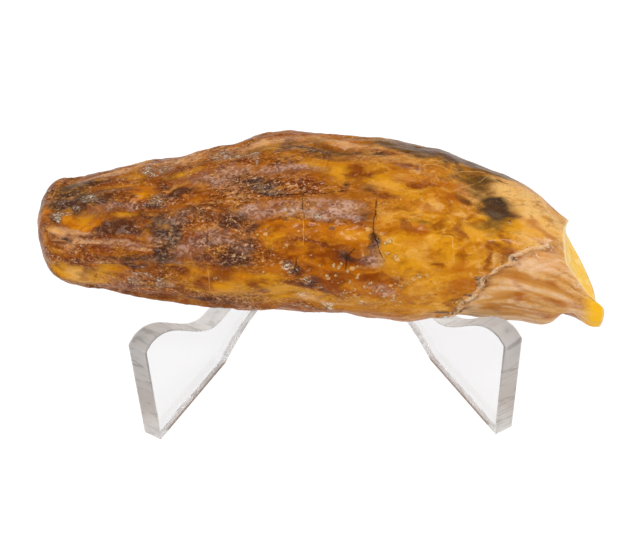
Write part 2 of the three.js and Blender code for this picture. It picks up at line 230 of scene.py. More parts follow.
# Each row: x, angle, half length (mm), half angle (degrees), strength.
STAINS = {
    # Pale gold where the cement is thin and clean. The two small spots at x -46, angles 44 and 46, are a
    # painted highlight.
    "gold": [
        (-45.5, 46, 1.2, 4, 0.9), (-40, 61, 2, 3, 0.7), (-33, 57, 1.8, 3, 1.0), (-44, -4, 2.6, 9, 0.9),
        (-40, -7, 4, 10, 1.0), (-36.5, 5, 2.5, 5, 0.8), (-32.5, 100, 2, 5, 0.7), (-23, 95, 3.5, 3, 0.9),
        (-46, 44, 1.2, 3, 0.6), (-9.5, 102, 2, 7, 0.8), (-1.5, 85, 3, 4, 0.5), (1.5, 84, 2.8, 6, 1.2),
        (10, 83, 4, 6, 0.9), (-21, -7, 4, 7, 0.6), (-15, -2, 4, 8, 0.8), (-9, 2, 4, 7, 0.8),
        (-5, -6, 5, 7, 0.8), (-3, 40, 4, 4, 0.6), (1.5, 43, 2, 3, 0.5), (-7, 38, 2, 4, 0.6),
        (0, -12, 12, 8, 0.7), (12, 38, 3, 9, 0.9), (14, 24, 5, 8, 0.8), (18, 40, 5, 9, 0.9),
        (15, 10, 4, 8, 0.6), (20, 56, 8, 10, 0.9), (26, 54, 6, 9, 1.1), (30, 62, 4, 5, 0.9),
        (24, 34, 4, 8, 0.7), (18, 22, 4, 8, 0.7), (20, -4, 6, 10, 0.7), (14, 76, 4, 6, 0.6),
        (32, 66, 4, 5, 0.8), (11, 112, 3, 6, 0.7), (24, 96, 3, 3, 0.6), (4.6, 18, 0.9, 2.4, 0.9),
    ],
    # Clear amber windows.
    "amber": [
        (-47, 65, 1.2, 10, 0.9), (-39.5, 54, 2.6, 5, 1.3), (-42.5, 60, 2.4, 5, 1.1),
        (-43, 21, 2.5, 4, 0.9), (-37.5, 25, 2.5, 3, 0.6), (-39, 10, 1.5, 3, 0.8), (-34.5, 2, 3, 5, 0.6),
        (-30, 84, 2.4, 5, 1.5), (-34, 88, 2, 6, 0.4), (-24, 66, 5, 3, 0.6), (-22, 0, 4, 5, 0.6),
        (-20, 10, 3, 3, 0.6), (-9, 13, 4, 3, 0.7), (-8, 16, 3, 5, 0.7), (-2, 41, 6, 5, 1.3),
        (-8, 36, 3, 6, 1.0), (-9, 45, 2, 3, 0.7), (-4, 28, 4, 5, 0.8), (0, 20, 5, 8, 1.1),
        (-1, 5, 4, 6, 0.6), (5, 40, 3, 7, 1.0), (5, 6, 5, 7, 0.9), (3, 88, 4, 3, 0.6),
        (8, 10, 4, 8, 0.7), (10, 50, 3, 5, 0.5), (22, 76, 5, 4, 0.8), (25, 62, 3, 3, 0.5),
        (22, 40, 2, 4, 0.4), (22, 26, 4, 5, 0.5), (14, 46, 2.5, 4, 0.5), (-13, 3, 3, 5, 0.6),
        (-18, -3, 2, 4, 0.5),
    ],
    # The palest cement, near the crown.
    "pale": [
        (34, 92, 5, 16, 1.1), (31, 104, 4, 8, 0.6), (36, 72, 2.5, 12, 0.8), (33.5, 56, 2, 4, 0.8),
        (24, 86, 3, 5, 0.4), (27.5, 36, 1.2, 6, 0.6), (25, 66, 2, 2, 0.4), (12, 97, 4, 3, 0.4),
        (24, -1, 1.4, 4, 0.5), (-41, -8, 3, 8, 0.5), (36.5, 84, 2.4, 10, 0.7),
    ],
    # Painted highlights: pinkish cream streaks on the ridges at the root's end, along the top edge and
    # across the front.
    "painted_highlight": [
        (-42, 39, 5, 8, 0.4), (-43, 45, 3, 5, 1.3), (-39.5, 43, 2.5, 3, 0.8), (-39, 37, 3, 2, 0.8),
        (-34, 36, 3, 2, 0.9), (-30, 31, 2, 1.6, 0.7), (-27, 36, 1.2, 4, 0.5), (-43.5, 32, 1.6, 3, 0.6),
        (-36.5, 12, 2.5, 2, 0.5), (-12, 58, 2.5, 3, 0.6), (-5.4, 51, 1.6, 3.4, 0.9),
        (-1.3, 52, 1.8, 3, 0.8), (3, 59, 3, 3, 0.5), (0, -14, 5, 4, 0.6), (36.5, 50, 1.8, 8, 0.9),
        (35, 59, 1.6, 3, 0.8), (30.5, 47, 1.6, 4, 0.6), (24, -3, 1.6, 6, 0.8), (34, 35, 3, 4, 0.5),
        (-37, 113, 6, 6, 0.9), (-24, 113, 6, 6, 0.8), (-9, 112, 6, 6, 0.8), (3, 112, 6, 5, 0.7),
        (11, 107, 4, 4, 0.6), (36.6, 45, 1.6, 6, 0.6),
    ],
    # Soft orange brown, where the cement near the crown thins out, and on the crown.
    "orange": [
        (22.5, 13, 2.4, 4, 1.0), (22, 4, 2.4, 4, 0.8), (21.6, 27, 1.2, 7, 0.8), (15.5, 46, 1.6, 4, 0.8),
        (17, 31, 2, 3, 0.6), (14, 86, 4, 3, 1.0), (21, 87, 4, 3, 1.0), (22, 77, 4, 3, 0.9),
        (17, 66, 4, 3, 0.6), (30.5, 76, 1.6, 3, 0.7), (34.5, 72, 1.4, 5, 0.7), (36.6, 68, 1.2, 4, 0.8),
        (29, 45, 2.6, 3, 0.9), (19, 22, 3, 3, 0.6), (14, 38, 2, 4, 0.5), (24.5, 46, 2, 3, 0.5),
        (15, 3, 3, 3, 0.5), (31.2, 8, 0.8, 6, 1.1), (30.8, 24, 1, 5, 0.7), (36.5, 26, 1.5, 2.5, 0.8),
        (35.2, 10, 1.4, 3, 0.7), (38, 12, 1.8, 4, 0.9), (41, 18, 1.8, 4, 0.9), (37, -10, 2, 5, 0.9),
        (34, -4, 2, 2, 0.6), (28, -10, 2, 4, 0.4), (32.5, 16, 1, 3, 0.5),
    ],
    # Rust, mostly round the edges of the amber.
    "rust": [
        (-42, 13, 3, 4, 1.4), (-39, 18, 2.5, 3, 0.7), (-38, 42, 4, 2.5, 0.9), (-41, 31, 5, 2, 0.5),
        (-36, 27, 3, 2.5, 0.6), (-44, 85, 2, 6, 0.6), (-34, 78, 6, 8, 0.4), (-37, 96, 3, 6, 0.5),
        (-33, 10, 2, 4, 0.6), (-22, 43, 1.8, 5, 0.9), (-24, 74, 3, 2.5, 0.5), (-13, 95, 3, 4, 1.0),
        (-3, 71, 5, 2.5, 1.3), (-8, 67, 3, 1.5, 0.6), (0, 32, 5, 1.6, 1.1), (-7, 24, 3, 4, 0.6),
        (-17, 20, 2.5, 6, 0.8), (-12, 30, 2.5, 4, 0.6), (-24, 8, 2, 3, 0.7), (-19, 3, 2.5, 2.5, 0.5),
        (4, 25, 3, 5, 0.9), (0.5, 5, 3, 4, 1.0), (-4, 2, 3, 4, 0.6), (5.5, 84, 2.5, 3.5, 1.0),
        (10, 71, 2.5, 3, 0.7), (5, 50, 4, 2, 0.7), (-5, 47, 5, 1.6, 0.8), (16, 84, 3, 3, 0.6),
        (14, 58, 4, 3, 0.4), (9, 101, 5, 3, 0.6), (13, 95, 2.5, 2.5, 0.8), (9.5, 12, 2.5, 6, 0.5),
        (26.4, 34, 0.6, 9, 1.3), (-15.5, 6, 1.6, 4, 0.7), (-12, -4, 1.4, 5, 0.6),
        (-20.5, -2, 1.6, 4, 0.7), (-9.5, -1, 1.4, 4, 0.5), (-36, 33, 5, 1.3, 0.9),
        (-39, 40.5, 4, 1, 0.7), (-31, 38, 3, 1.4, 0.6), (0, 25, 4, 3, 0.8), (-4, 14, 3, 4, 0.7),
        (3, 13, 3, 3, 0.6), (6, 8, 3, 3, 0.5), (1, -1, 3, 3, 0.5), (22.5, 37, 1.4, 3, 0.6),
        (28, 50, 1.5, 3, 0.6), (17, 26, 1.5, 2, 0.4),
    ],
    # Olive brown in the hollows of the upper side.
    "olive": [
        (-43.5, 98, 2.8, 14, 1.8), (-43.6, 77, 2.2, 9, 1.8), (-41.5, 88, 2, 9, 1.4),
        (-39, 102, 2.4, 6, 0.8), (-40, 76, 2, 4, 0.7), (-27, 60, 5, 4, 0.5), (-22, 58, 3, 2, 0.5),
        (-38, 80, 4, 6, 0.5), (-36, 64, 3, 3, 0.4), (-4, 103, 3, 7, 0.9), (-2.5, 98, 1.4, 3, 1.0),
        (2, 98, 4, 4, 0.9), (-6, 97, 4, 3, 0.5), (-12, 104, 3, 4, 0.5), (8, 100, 3, 3, 0.5),
        (25.5, 95, 2.6, 6, 0.9), (30, 86, 2.6, 6, 0.5), (24, 78, 2.4, 4, 0.6), (27.5, 60, 4, 4, 0.6),
        (12, 118, 4, 10, 0.8), (19, 113, 5, 8, 1.2), (20, 126, 7, 10, 1.2), (27, 120, 4, 8, 1.0),
        (31, 126, 3, 8, 0.7), (15, 53, 3, 2.4, 0.4), (25, 102, 3, 5, 0.7), (22, 92, 3, 3, 0.4),
    ],
    # Manganese: dark purple brown.
    "manganese": [
        (-42.5, 74, 2, 9, 0.9), (-44, 90, 1.6, 8, 0.7), (-45.5, 58, 1.2, 4, 0.9), (-42, 86, 2, 5, 0.6),
        (-38, 75, 3, 4, 1.0), (-35, 71, 2, 3, 0.6), (-40, 105, 1.6, 7, 0.8), (-35, 48, 2.8, 4, 1.0),
        (-31.5, 46, 2, 3, 0.9), (-39, 42, 2, 2, 0.4), (-43.4, 36, 0.7, 2, 1.0), (-42, 13, 2, 2.5, 0.6),
        (-32, 21, 2.5, 4, 0.9), (-28, 17, 2.5, 5, 1.1), (-32, 8, 2, 4, 0.7), (-36, 18, 2, 3, 0.4),
        (-26, 40, 2.2, 14, 1.1), (-24.6, 50, 1.8, 8, 0.9), (-26.5, 27, 2, 5, 0.7),
        (-29, 55, 2.5, 4, 0.6), (-28, 71, 2.5, 4, 0.9), (-25, 58, 2, 4, 0.5), (-23, 79, 3, 3, 1.1),
        (-26, 84, 1.5, 2, 0.5), (-14.5, 53, 3, 5, 0.9), (-13, 33, 2.4, 5, 0.7), (-16, 22, 2.6, 6, 0.6),
        (-18, 60, 3, 2.5, 0.5), (-21, 20, 2, 4, 0.5), (-11.5, 44, 2, 4, 0.8), (-14, 24, 2, 5, 0.9),
        (-14, 16, 2, 3, 0.6), (-17.5, 36, 1.2, 6, 0.5), (-10.5, 75, 2.2, 4, 1.1), (-8, 70, 2.2, 2, 0.8),
        (-14, 81, 3, 3, 0.5), (-5.5, 89, 3.5, 2, 0.7), (-6.6, 20, 1, 2.6, 0.8), (-4.8, 13, 1, 3, 0.9),
        (-2.6, 5, 1.6, 3, 0.9), (-0.6, 1, 1.2, 2, 0.6), (3.8, 27, 1.4, 3, 0.9), (8.2, 38, 0.9, 6, 1.0),
        (7.4, 27, 1.6, 4, 0.6), (7.5, 73, 1.8, 3, 0.8), (3.9, 75, 0.6, 1.6, 1.1),
        (1.3, 41.5, 0.5, 2, 1.0), (7, 56, 2.5, 3, 0.5), (29.6, 42, 1.1, 3, 1.2), (28.6, 34, 0.8, 3, 0.4),
        (25, 15, 0.9, 3.4, 1.3), (27.4, 24, 0.8, 1.6, 0.8), (23.2, 4, 0.4, 1.6, 1.2),
        (22, -2, 0.4, 1.6, 0.8), (6, 104, 3, 3, 0.5), (-20, -24, 5, 6, 0.6), (20, -14, 4, 3, 0.8),
        (18, 116, 4, 4, 0.8), (24, 116, 4, 4, 0.7),
    ],
    # Nearly black.
    "black": [
        (28.4, 76, 2.6, 11, 1.2), (27.2, 76, 2, 8, 0.6), (-9.4, 71, 1.6, 2, 0.8),
        (-24.8, 44, 1.2, 6, 0.5), (-43.4, 36, 0.5, 1.4, 0.9), (-27, 21, 1.2, 2.5, 0.6),
        (3.9, 75, 0.6, 1.4, 1.1), (8.3, 36, 0.5, 5, 0.7), (23.2, 4, 0.5, 1.6, 1.2),
        (22.4, -5, 0.4, 1.4, 1.0), (21.2, -1, 0.4, 1.2, 0.9), (21.2, -9, 0.4, 1.6, 1.0),
        (20, -6, 0.4, 1.2, 0.8), (25, 15, 0.6, 2.6, 0.8), (29.8, 41, 0.7, 2, 0.7),
        (-4.6, 14, 0.5, 3, 0.8), (4, 28, 0.5, 2.6, 0.7), (-43.6, 96, 2, 12, 0.35),
        (-43, 78, 1.6, 7, 0.35), (-26, 46, 1.8, 9, 0.7), (-26.5, 27, 1.6, 5, 0.6), (-10, 74, 2, 4, 0.6),
        (29.4, 78, 2, 9, 0.7),
    ],
    # Painted sheen: a cool grey reflection of the light, laid over the darkest stains.
    "bloom": [
        (-38.8, 79, 1.4, 4, 0.9), (-44.6, 60, 1, 4, 0.8), (-43, 110, 3, 8, 0.7),
        (-24.5, 42, 1.6, 9, 0.9), (-26.5, 54, 1.6, 3, 0.6), (-25, 26, 2, 4, 0.7), (-26, 20, 2, 3, 0.6),
        (-27.5, 75, 1.6, 4, 0.7), (-9, 71, 1.6, 2.5, 1.2), (-11, 77, 1.6, 2.5, 0.7),
        (-17.5, 46, 1.5, 3, 0.4), (20, 107, 4, 5, 0.2), (28.2, 70, 1.6, 3, 0.7), (-30, -8, 2.5, 4, 0.4),
    ],
    # Partly a thin, pink to lilac mineral film, partly painted sheen: the overhead light's reflection on
    # the rough cement, painted as a pink to lilac tone.
    "film": [
        (-43, 48, 2, 3, 0.7), (-37.5, 38, 3.5, 2, 0.6), (-33, 34, 3, 3, 0.6), (-28, 42, 2, 4, 0.5),
        (-37, 66, 3, 4, 0.5), (-33, 70, 3, 4, 0.5), (-19.5, 35, 2, 4, 1.2), (-22.5, 30, 2, 3, 0.6),
        (-18.5, 46, 1.8, 4, 1.0), (-20.5, 26, 2, 3, 0.6), (-16, 36, 2, 4, 0.7), (-11, 57, 2.5, 3, 1.1),
        (-8, 52, 3, 2.4, 0.8), (-5.3, 51, 1.4, 3.4, 1.4), (-1.3, 52, 1.6, 3.4, 1.1),
        (2.5, 57, 3, 4.5, 1.0), (2, 63, 3, 3.5, 0.9), (-4.5, 60, 3.5, 3, 0.7), (-4, 82, 3.5, 4, 0.9),
        (-8, 83, 2.5, 4, 0.7), (-14, 86, 3, 3, 0.6), (-18, 84, 2, 5, 0.7), (-21, 88, 2, 3, 0.6),
        (-24, 57, 2.5, 2.4, 0.4), (-25.5, 16, 1.6, 2.6, 1.0), (8, 25, 1.6, 4.5, 1.1),
        (8.6, 35, 0.9, 4, 0.6), (-13.5, 25, 1.4, 4, 0.8), (9, 3, 3, 2, 0.6), (36.2, 58, 1.4, 3, 0.8),
        (-33, -14, 4, 4, 0.5), (14, 93, 3, 1.4, 0.5),
    ],
    # Grey white grains of mineral crust.
    "crust": [
        (-28.5, 102, 1.8, 5, 1.3), (-26, 104, 1.8, 4, 1.1), (-30.3, 108, 1.2, 5, 0.9),
        (-27.3, 76, 1.3, 4.5, 1.2), (-29.5, 72, 1.2, 2.4, 0.6), (-45, 59, 1, 5, 1.0),
        (-43.6, 66, 1.4, 4, 0.9), (-39, 79, 1.4, 4, 1.0), (-41.5, 72, 0.8, 4, 0.8),
        (-36, 74, 1.4, 3, 0.5), (-17, 108, 1.8, 3, 1.2), (-14.8, 105, 1.4, 3, 1.2),
        (-13, 101, 1.2, 3, 1.3), (-11.8, 97, 0.9, 3, 1.3), (-11, 92, 0.5, 3, 1.1),
        (-17.5, 101, 1.4, 2.4, 0.7), (-32, -5, 1, 5, 1.4), (-29.8, 3, 2.2, 2, 1.3),
        (-31, 9, 1.4, 2, 0.6), (-27.2, 0, 1.4, 3, 1.3), (-25.8, -6, 1.5, 3, 1.2),
        (-27.5, -12, 0.8, 6, 1.2), (-24.8, -14, 1, 5, 0.9), (-6.6, 18, 1.3, 2.4, 1.2),
        (-5.1, 13, 1, 2, 1.3), (-3, 8, 1, 2, 1.1), (-1.4, 4, 1, 1.6, 1.0), (-2.4, -11, 1.2, 4, 1.0),
        (1.6, -16, 1.2, 5, 1.0), (7, -14, 1.2, 4, 0.9), (-9.2, 38, 0.8, 1.6, 1.1),
        (-5.8, 30, 0.4, 1, 0.9), (-5.4, 51, 1.4, 2.4, 0.9), (-1.4, 51, 1.4, 2.4, 0.9),
        (2.4, 57, 1.6, 2.4, 0.6), (8.6, 46, 1.6, 1.6, 0.9), (24, -1, 1.4, 5, 0.8),
        (27, 73, 1.2, 2.6, 0.6),
    ],
    # White granules, up to half a millimetre across.
    "granules": [
        (9.6, 43, 1.2, 6, 1.1), (10.5, 36, 1.2, 5, 1.0), (11.5, 29, 1.6, 3, 1.0), (15, 15, 2, 3, 1.2),
        (11, 11, 2, 6, 0.8), (8, 2, 3.5, 4, 1.0), (5, -1, 1.8, 4, 0.9), (5, 13, 2.4, 7, 0.8),
        (1, 9, 1.8, 3, 0.9), (3, 0, 2.4, 3, 0.7), (-2, 20, 5, 8, 0.5), (3, 19, 3, 4, 0.7),
        (-13, 24, 3, 7, 0.8), (-10, 36, 2.4, 5, 0.7), (-17, 3, 2, 4, 0.6), (7, -8, 4, 5, 0.7),
        (11, -2, 3, 5, 0.7), (-4, -8, 4, 4, 0.5), (4.8, 60, 2, 4, 0.6), (22.4, -3, 1.4, 5, 1.1),
        (21, -12, 1.4, 5, 1.1), (24, 5, 1, 3, 0.9),
    ],
}

# How much of each stain lies on the far side and the root's end: on the root, and near the crown.
FAR_SHARES = {
    "gold": (0.9, 1.2),
    "amber": (1.2, 1.0),
    "pale": (0.3, 1.1),
    "painted_highlight": (0.8, 0.5),
    "orange": (0.7, 1.0),
    "rust": (1.0, 0.6),
    "olive": (0.8, 0.5),
    "manganese": (0.9, 0.4),
    "black": (0.5, 0.3),
    "bloom": (0.5, 0.1),
    "film": (0.6, 0.1),
    "crust": (0.6, 0.3),
    "granules": (0.4, 0.3),
}

# Open cracks, dark inside: x, angle along each.
CRACKS = [
    [(-10.2, 67), (-8.5, 65), (-6, 64.3), (-4, 64.5), (-2, 65.4), (0, 67), (2, 69.5), (4, 71)],
    [(-3.2, 62), (-3.2, 55), (-2.9, 49)],
    [(8.7, 66), (8.5, 58), (8.1, 50), (8.2, 43), (8.7, 37), (9, 31), (9.8, 25)],
    [(-4.3, 20), (-4.5, 15), (-4.9, 10)],
    [(4.9, 31), (3.9, 26), (3.6, 18)],
    [(29, 106), (30, 106), (31.4, 107.5)],
]
# Hairline cracks.
HAIRLINES = [
    [(-18.9, 52), (-18.8, 42), (-18.9, 30)],
    [(-7.2, 20), (-5.8, 14)],
    [(-3.6, 8), (-2, 4), (-0.3, -1)],
    [(2, 13), (2.3, 5)],
    [(-12.5, -6), (-12.6, -16)],
    [(1.6, -11), (1.9, -15)],
    [(5.6, -2), (7, 3)],
    [(-24, 17), (-20, 16), (-16, 15)],
    [(1, 90), (0.6, 84)],
    [(39.2, 34), (40.4, 31), (41.6, 30), (43, 29.5), (44.4, 27)],
]
# Healed cracks, filled with pale mineral.
VEINS = [
    [(-3.1, 49), (-3.1, 32)],
    [(-19, 17), (-19, -12)],
    [(17.5, 71), (19, 76), (21, 82), (23, 89), (25, 95), (26.5, 101), (27.5, 106)],
    [(17, 97), (18.3, 98.5), (20.2, 97.6), (22, 99.5), (24, 104), (26.8, 108)],
    [(28.5, 105), (30.5, 105.5), (32, 104)],
    [(17, 47), (20.6, 47.5), (20.8, 30)],
    [(2, 76.5), (3.4, 74)],
    [(-22, 67), (-16, 63), (-10, 61)],
    [(9, 64), (8.9, 54)],
]
# Round grains that stand on the cement: x, angle, radius.
GRAINS = [
    (7.2, 46, 0.5), (9.4, 44, 0.4), (10.4, 40, 0.55), (10.2, 31, 0.4), (11.8, 28, 0.5), (14.4, 15, 0.45),
    (15.3, 17, 0.35), (16.5, 18.5, 0.4), (4.6, 18, 0.55), (5.4, 11.5, 0.4), (0.8, 9, 0.4),
    (3.6, 0, 0.35), (5, -2, 0.4), (7.4, 1, 0.3), (8.6, 3, 0.3), (10.8, 8, 0.4), (12.6, 9, 0.35),
    (11.2, 1, 0.4), (1.6, 19, 0.3), (-2, 24, 0.3), (-3.9, 40, 0.35), (-9.2, 38, 0.5), (-5.8, 30, 0.4),
    (-9.8, 11, 0.35), (-6.8, 18, 0.4), (-5, 14, 0.4), (-14.5, 24, 0.4), (-12.8, 22, 0.35),
    (6.4, 28, 0.35), (9.2, 22, 0.35),
]

# ---- Stand: shape -------------------------------------------------------------------------------

SHEET = 3.5  # thickness of the clear sheet
SPLAY = math.radians(30.5)  # how far each wing leans from straight back
HALF_SPAN = 28.6  # from the middle to a wing's inner face at its front end
BEND_RADIUS = 3
WING_END = 22.3  # height of a wing's front end
SHOULDER = 23.1
CORNER_LENGTH = 1.8
CRADLE_START = 2.2
CRADLE_FOOT = 20
CRADLE_FLOOR = 11.4
SPINE_START = 36
SPINE_HEIGHT = 16.8
ARCH_MIDDLE = 33
ARCH_HALF = 13
ARCH_RISE = 3.5
BEND_MIDDLE_Y = (HALF_SPAN * math.cos(SPLAY) - BEND_RADIUS) / math.sin(SPLAY)
WING_LENGTH = HALF_SPAN * math.sin(SPLAY) + BEND_MIDDLE_Y * math.cos(SPLAY)
HALF_LENGTH = WING_LENGTH + BEND_RADIUS * (math.pi / 2 - SPLAY)
ARC_STEPS = 4  # faces round each eased edge
END_TURN = 88  # degrees the eased ends turn through; short of 90, so that no corner shrinks to a point
EDGE_SUPPORT = 0.12  # a row of faces beside each eased edge keeps the flats flat
FOOT_LINE_FROM_END = 2.5  # where the thin brown line along each foot begins
SAW_MARKS = 0.9  # between the marks across the cut edges; coarser than a real saw's, to show
FLOOR_GAP = 0.05  # the table lies this far under the feet, so that light can pass between them

# ---- Camera -------------------------------------------------------------------------------------

CAMERA_PLACE = (3.733, -140.994, 178.051)  # from midway between the wings' front ends
CAMERA_DOWN = 44.43  # degrees below level
CAMERA_YAW = 1.627
CAMERA_ROLL = -2.144
LENS = 74.17  # focal length for a 36 mm wide frame

# ---- Placing ------------------------------------------------------------------------------------

tooth_low, tooth_high = (np.array(corner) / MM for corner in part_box("tooth"))
stand_low = np.array(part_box("stand")[0]) / MM
# The tables put x = 0 midway between the wings and y = 0 at their front ends.
SHIFT = np.array([tooth_low[0] - ROOT_END, stand_low[1], 0.0])


# ---- Numbers ------------------------------------------------------------------------------------


def smoothstep(value, low, high):
    """0 below low and 1 above high, with 3t^2 - 2t^3 between them."""
    t = np.clip((value - low) / (high - low), 0, 1)
    return t * t * (3 - 2 * t)


def through(table, column, x):
    """A cubic curve through one column, with each row's slope taken from the rows beside it."""
    places, heights = table[:, 0], table[:, column]
    slopes = np.empty(len(table))
    slopes[1:-1] = (heights[2:] - heights[:-2]) / (places[2:] - places[:-2])
    slopes[0] = (heights[1] - heights[0]) / (places[1] - places[0])
    slopes[-1] = (heights[-1] - heights[-2]) / (places[-1] - places[-2])
    i = np.clip(np.searchsorted(places, x, side="right") - 1, 0, len(table) - 2)
    step = places[i + 1] - places[i]
    t = (x - places[i]) / step
    start = (2 * t**3 - 3 * t**2 + 1) * heights[i] + (t**3 - 2 * t**2 + t) * step * slopes[i]
    end = (3 * t**2 - 2 * t**3) * heights[i + 1] + (t**3 - t**2) * step * slopes[i + 1]
    return start + end


def soft_min(a, b, blend):
    """The smaller of a and b, rounded off where they are nearly equal."""
    share = np.clip(0.5 + 0.5 * (b - a) / blend, 0, 1)
    return b + (a - b) * share - blend * share * (1 - share)


def bell(value, middle, width):
    """1 at the middle, falling off on both sides as e^(-t^2), where t is the way in widths."""
    return np.exp(-(((value - middle) / width) ** 2))


def signed_power(value, power):
    """The power of the plain value, with the value's own sign."""
    return np.sign(value) * np.abs(value) ** power


def wrap(angle):
    """The same angle between -180 and 180 degrees."""
    return (angle + 180) % 360 - 180


NOISE_GAIN = 1.6  # brings smooth noise to about -1 to 1
LAYER_STEP = 2.03  # how much finer each layer of noise is
FIRST_SEED = 31


class Noise:
    """Smooth noise on a lattice: a random slope at each whole point, blended between them."""

    def __init__(self, seed):
        random = np.random.default_rng(seed)
        self.order = random.permutation(1024)
        slopes = random.normal(size=(1024, 3))
        self.slopes = slopes / np.linalg.norm(slopes, axis=1, keepdims=True)
        self.jitter = random.random((1024, 3))

    def pick(self, cell):
        """A number from 0 to 1023 for each lattice cell."""
        mixed = self.order[cell[..., 0] & 1023]
        mixed = self.order[(mixed + cell[..., 1]) & 1023]
        return self.order[(mixed + cell[..., 2]) & 1023]

    def smooth(self, points):
        """About -1 to 1: corner slopes times the way from the corner, blended by 6t^5-15t^4+10t^3."""
        cell = np.floor(points).astype(np.int64)
        within = points - cell
        fade = within**3 * (within * (within * 6 - 15) + 10)
        total = np.zeros(points.shape[:-1])
        for corner in itertools.product((0, 1), repeat=3):
            offset = np.array(corner)
            slope = self.slopes[self.pick(cell + offset)]
            weight = np.prod(np.where(offset, fade, 1 - fade), axis=-1)
            total += weight * np.sum(slope * (within - offset), axis=-1)
        return total * NOISE_GAIN

    def layered(self, points, layers=4):
        """Layers of smooth noise, each twice as fine and half as strong as the last."""
        total = np.zeros(points.shape[:-1])
        for layer in range(layers):
            total += self.smooth(points * LAYER_STEP**layer + 17.3 * layer) / 2**layer
        return total

    def nearest(self, points):
        """Distance to the nearest of the dots, one at a random place in each cell, and its own number."""
        cell = np.floor(points).astype(np.int64)
        best = np.full(points.shape[:-1], FAR_AWAY)
        number = np.zeros(points.shape[:-1])
        for corner in itertools.product((-1, 0, 1), repeat=3):
            there = cell + np.array(corner)
            chosen = self.pick(there)
            distance = np.linalg.norm(there + self.jitter[chosen] - points, axis=-1)
            closer = distance < best
            best = np.where(closer, distance, best)
            number = np.where(closer, self.jitter[(chosen * 7) & 1023, 0], number)
        return best, number


# ---- Meshes and nodes -----------------------------------------------------------------------------


def linear(hex_colour):
    """An sRGB hex colour as linear red, green, blue and full alpha."""
    parts = [int(hex_colour[i : i + 2], 16) / 255 for i in (1, 3, 5)]
    return tuple(c / 12.92 if c <= 0.04045 else ((c + 0.055) / 1.055) ** 2.4 for c in parts) + (1,)


def skin_mesh(name, rings, start, end):
    """A closed mesh over rings of points, shape (rings, around, 3) in mm, with a point at each end.

    Each face joins two neighbours on one ring to the same two on the next.
    """
    count, around = rings.shape[:2]
    points = np.concatenate([rings.reshape(-1, 3), [start], [end]])
    points = (points + SHIFT) * MM
    here = np.arange(around)
    following = (here + 1) % around
    row = np.arange(count - 1)[:, None] * around
    quads = np.stack(
        [row + here, row + around + here, row + around + following, row + following], axis=-1
    ).reshape(-1, 4)
    first = np.stack([np.full(around, count * around), here, following], axis=-1)
    last_row = (count - 1) * around
    last = np.stack([np.full(around, count * around + 1), last_row + following, last_row + here], axis=-1)
    mesh = bpy.data.meshes.new(name)
    mesh.from_pydata(points.tolist(), [], quads.tolist() + first.tolist() + last.tolist())
    mesh.polygons.foreach_set("use_smooth", np.ones(len(mesh.polygons), bool))
    mesh.update()
    return mesh


def add_object(name, mesh, material):
    """Adds an object with one mesh and one material, at the origin."""
    piece = bpy.data.objects.new(name, mesh)
    bpy.context.scene.collection.objects.link(piece)
    mesh.materials.append(material)
    return piece


def new_material(name):
    """An empty node material, and its node tree."""
    material = bpy.data.materials.new(name)
    material.use_nodes = True
    material.node_tree.nodes.clear()
    return material, material.node_tree


def add_node(tree, kind, settings=None, inputs=None, output=0):
    """Adds one node and gives one of its outputs.

    settings are its properties. inputs are its sockets' numbers and colours, or outputs linked to them.
    """
    node = tree.nodes.new(kind)
    for key, value in (settings or {}).items():
        setattr(node, key, value)
    for key, value in (inputs or {}).items():
        if isinstance(value, bpy.types.NodeSocket):
            tree.links.new(value, node.inputs[key])
        else:
            node.inputs[key].default_value = value
    return node.outputs[output] if node.outputs else node


# ---- Tooth --------------------------------------------------------------------------------------


def break_x(angle):
    """x of the break's edge at an angle."""
    first = BREAK_EDGE[0, 0]
    return through(BREAK_EDGE, 1, (angle - first) % 360 + first)


def ledge_x(angle):
    """x of the cement's edge: it climbs on both sides of its lowest point and wanders a little."""
    climb = np.hypot(wrap(angle - LEDGE_ANGLE), LEDGE_ROUND) - LEDGE_ROUND
    wander = sum(size * np.sin(np.radians(count * angle + phase)) for count, size, phase in LEDGE_WAVES)
    line = LEDGE_START + LEDGE_SLOPE * climb + LEDGE_WAVE * wander
    line += LEDGE_STEEPER * np.maximum(0, wrap(angle) - LEDGE_TURN)
    return soft_min(line, break_x(angle) - LEDGE_FROM_BREAK, LEDGE_BLEND)


def ledge_room(angle):
    """0 where the cement reaches the break and 1 where the crown shows beyond it."""
    return smoothstep(break_x(angle) - ledge_x(angle), *LEDGE_SHOWS)


def half_sizes(x):
    """Half depth and half height of the section at x, with the root's end rounded off.

    Over the cap they are multiplied by (1 - (1 - t)^p)^(1/p), where t is the way in from the end.
    """
    from_end = np.clip((x - ROOT_END) / ROOT_CAP, 0, 1)
    cap = (1 - (1 - from_end) ** ROOT_CAP_POWER) ** (1 / ROOT_CAP_POWER)
    return through(SECTIONS, 3, x) * cap, through(SECTIONS, 4, x) * cap


def section_point(x, angle, relief):
    """A point of the section at x, pushed out by the relief.

    The section is a squared ellipse: its middle, plus each half size times the cosine or sine of the
    angle to the power of 2 / SECTION_POWER.
    """
    half_depth, half_height = half_sizes(x)
    across = signed_power(np.cos(np.radians(angle)), 2 / SECTION_POWER)
    up = signed_power(np.sin(np.radians(angle)), 2 / SECTION_POWER)
    y = through(SECTIONS, 1, x) - (half_depth + relief) * across
    z = through(SECTIONS, 2, x) + (half_height + relief) * up
    return np.stack([x, y, z], axis=-1)


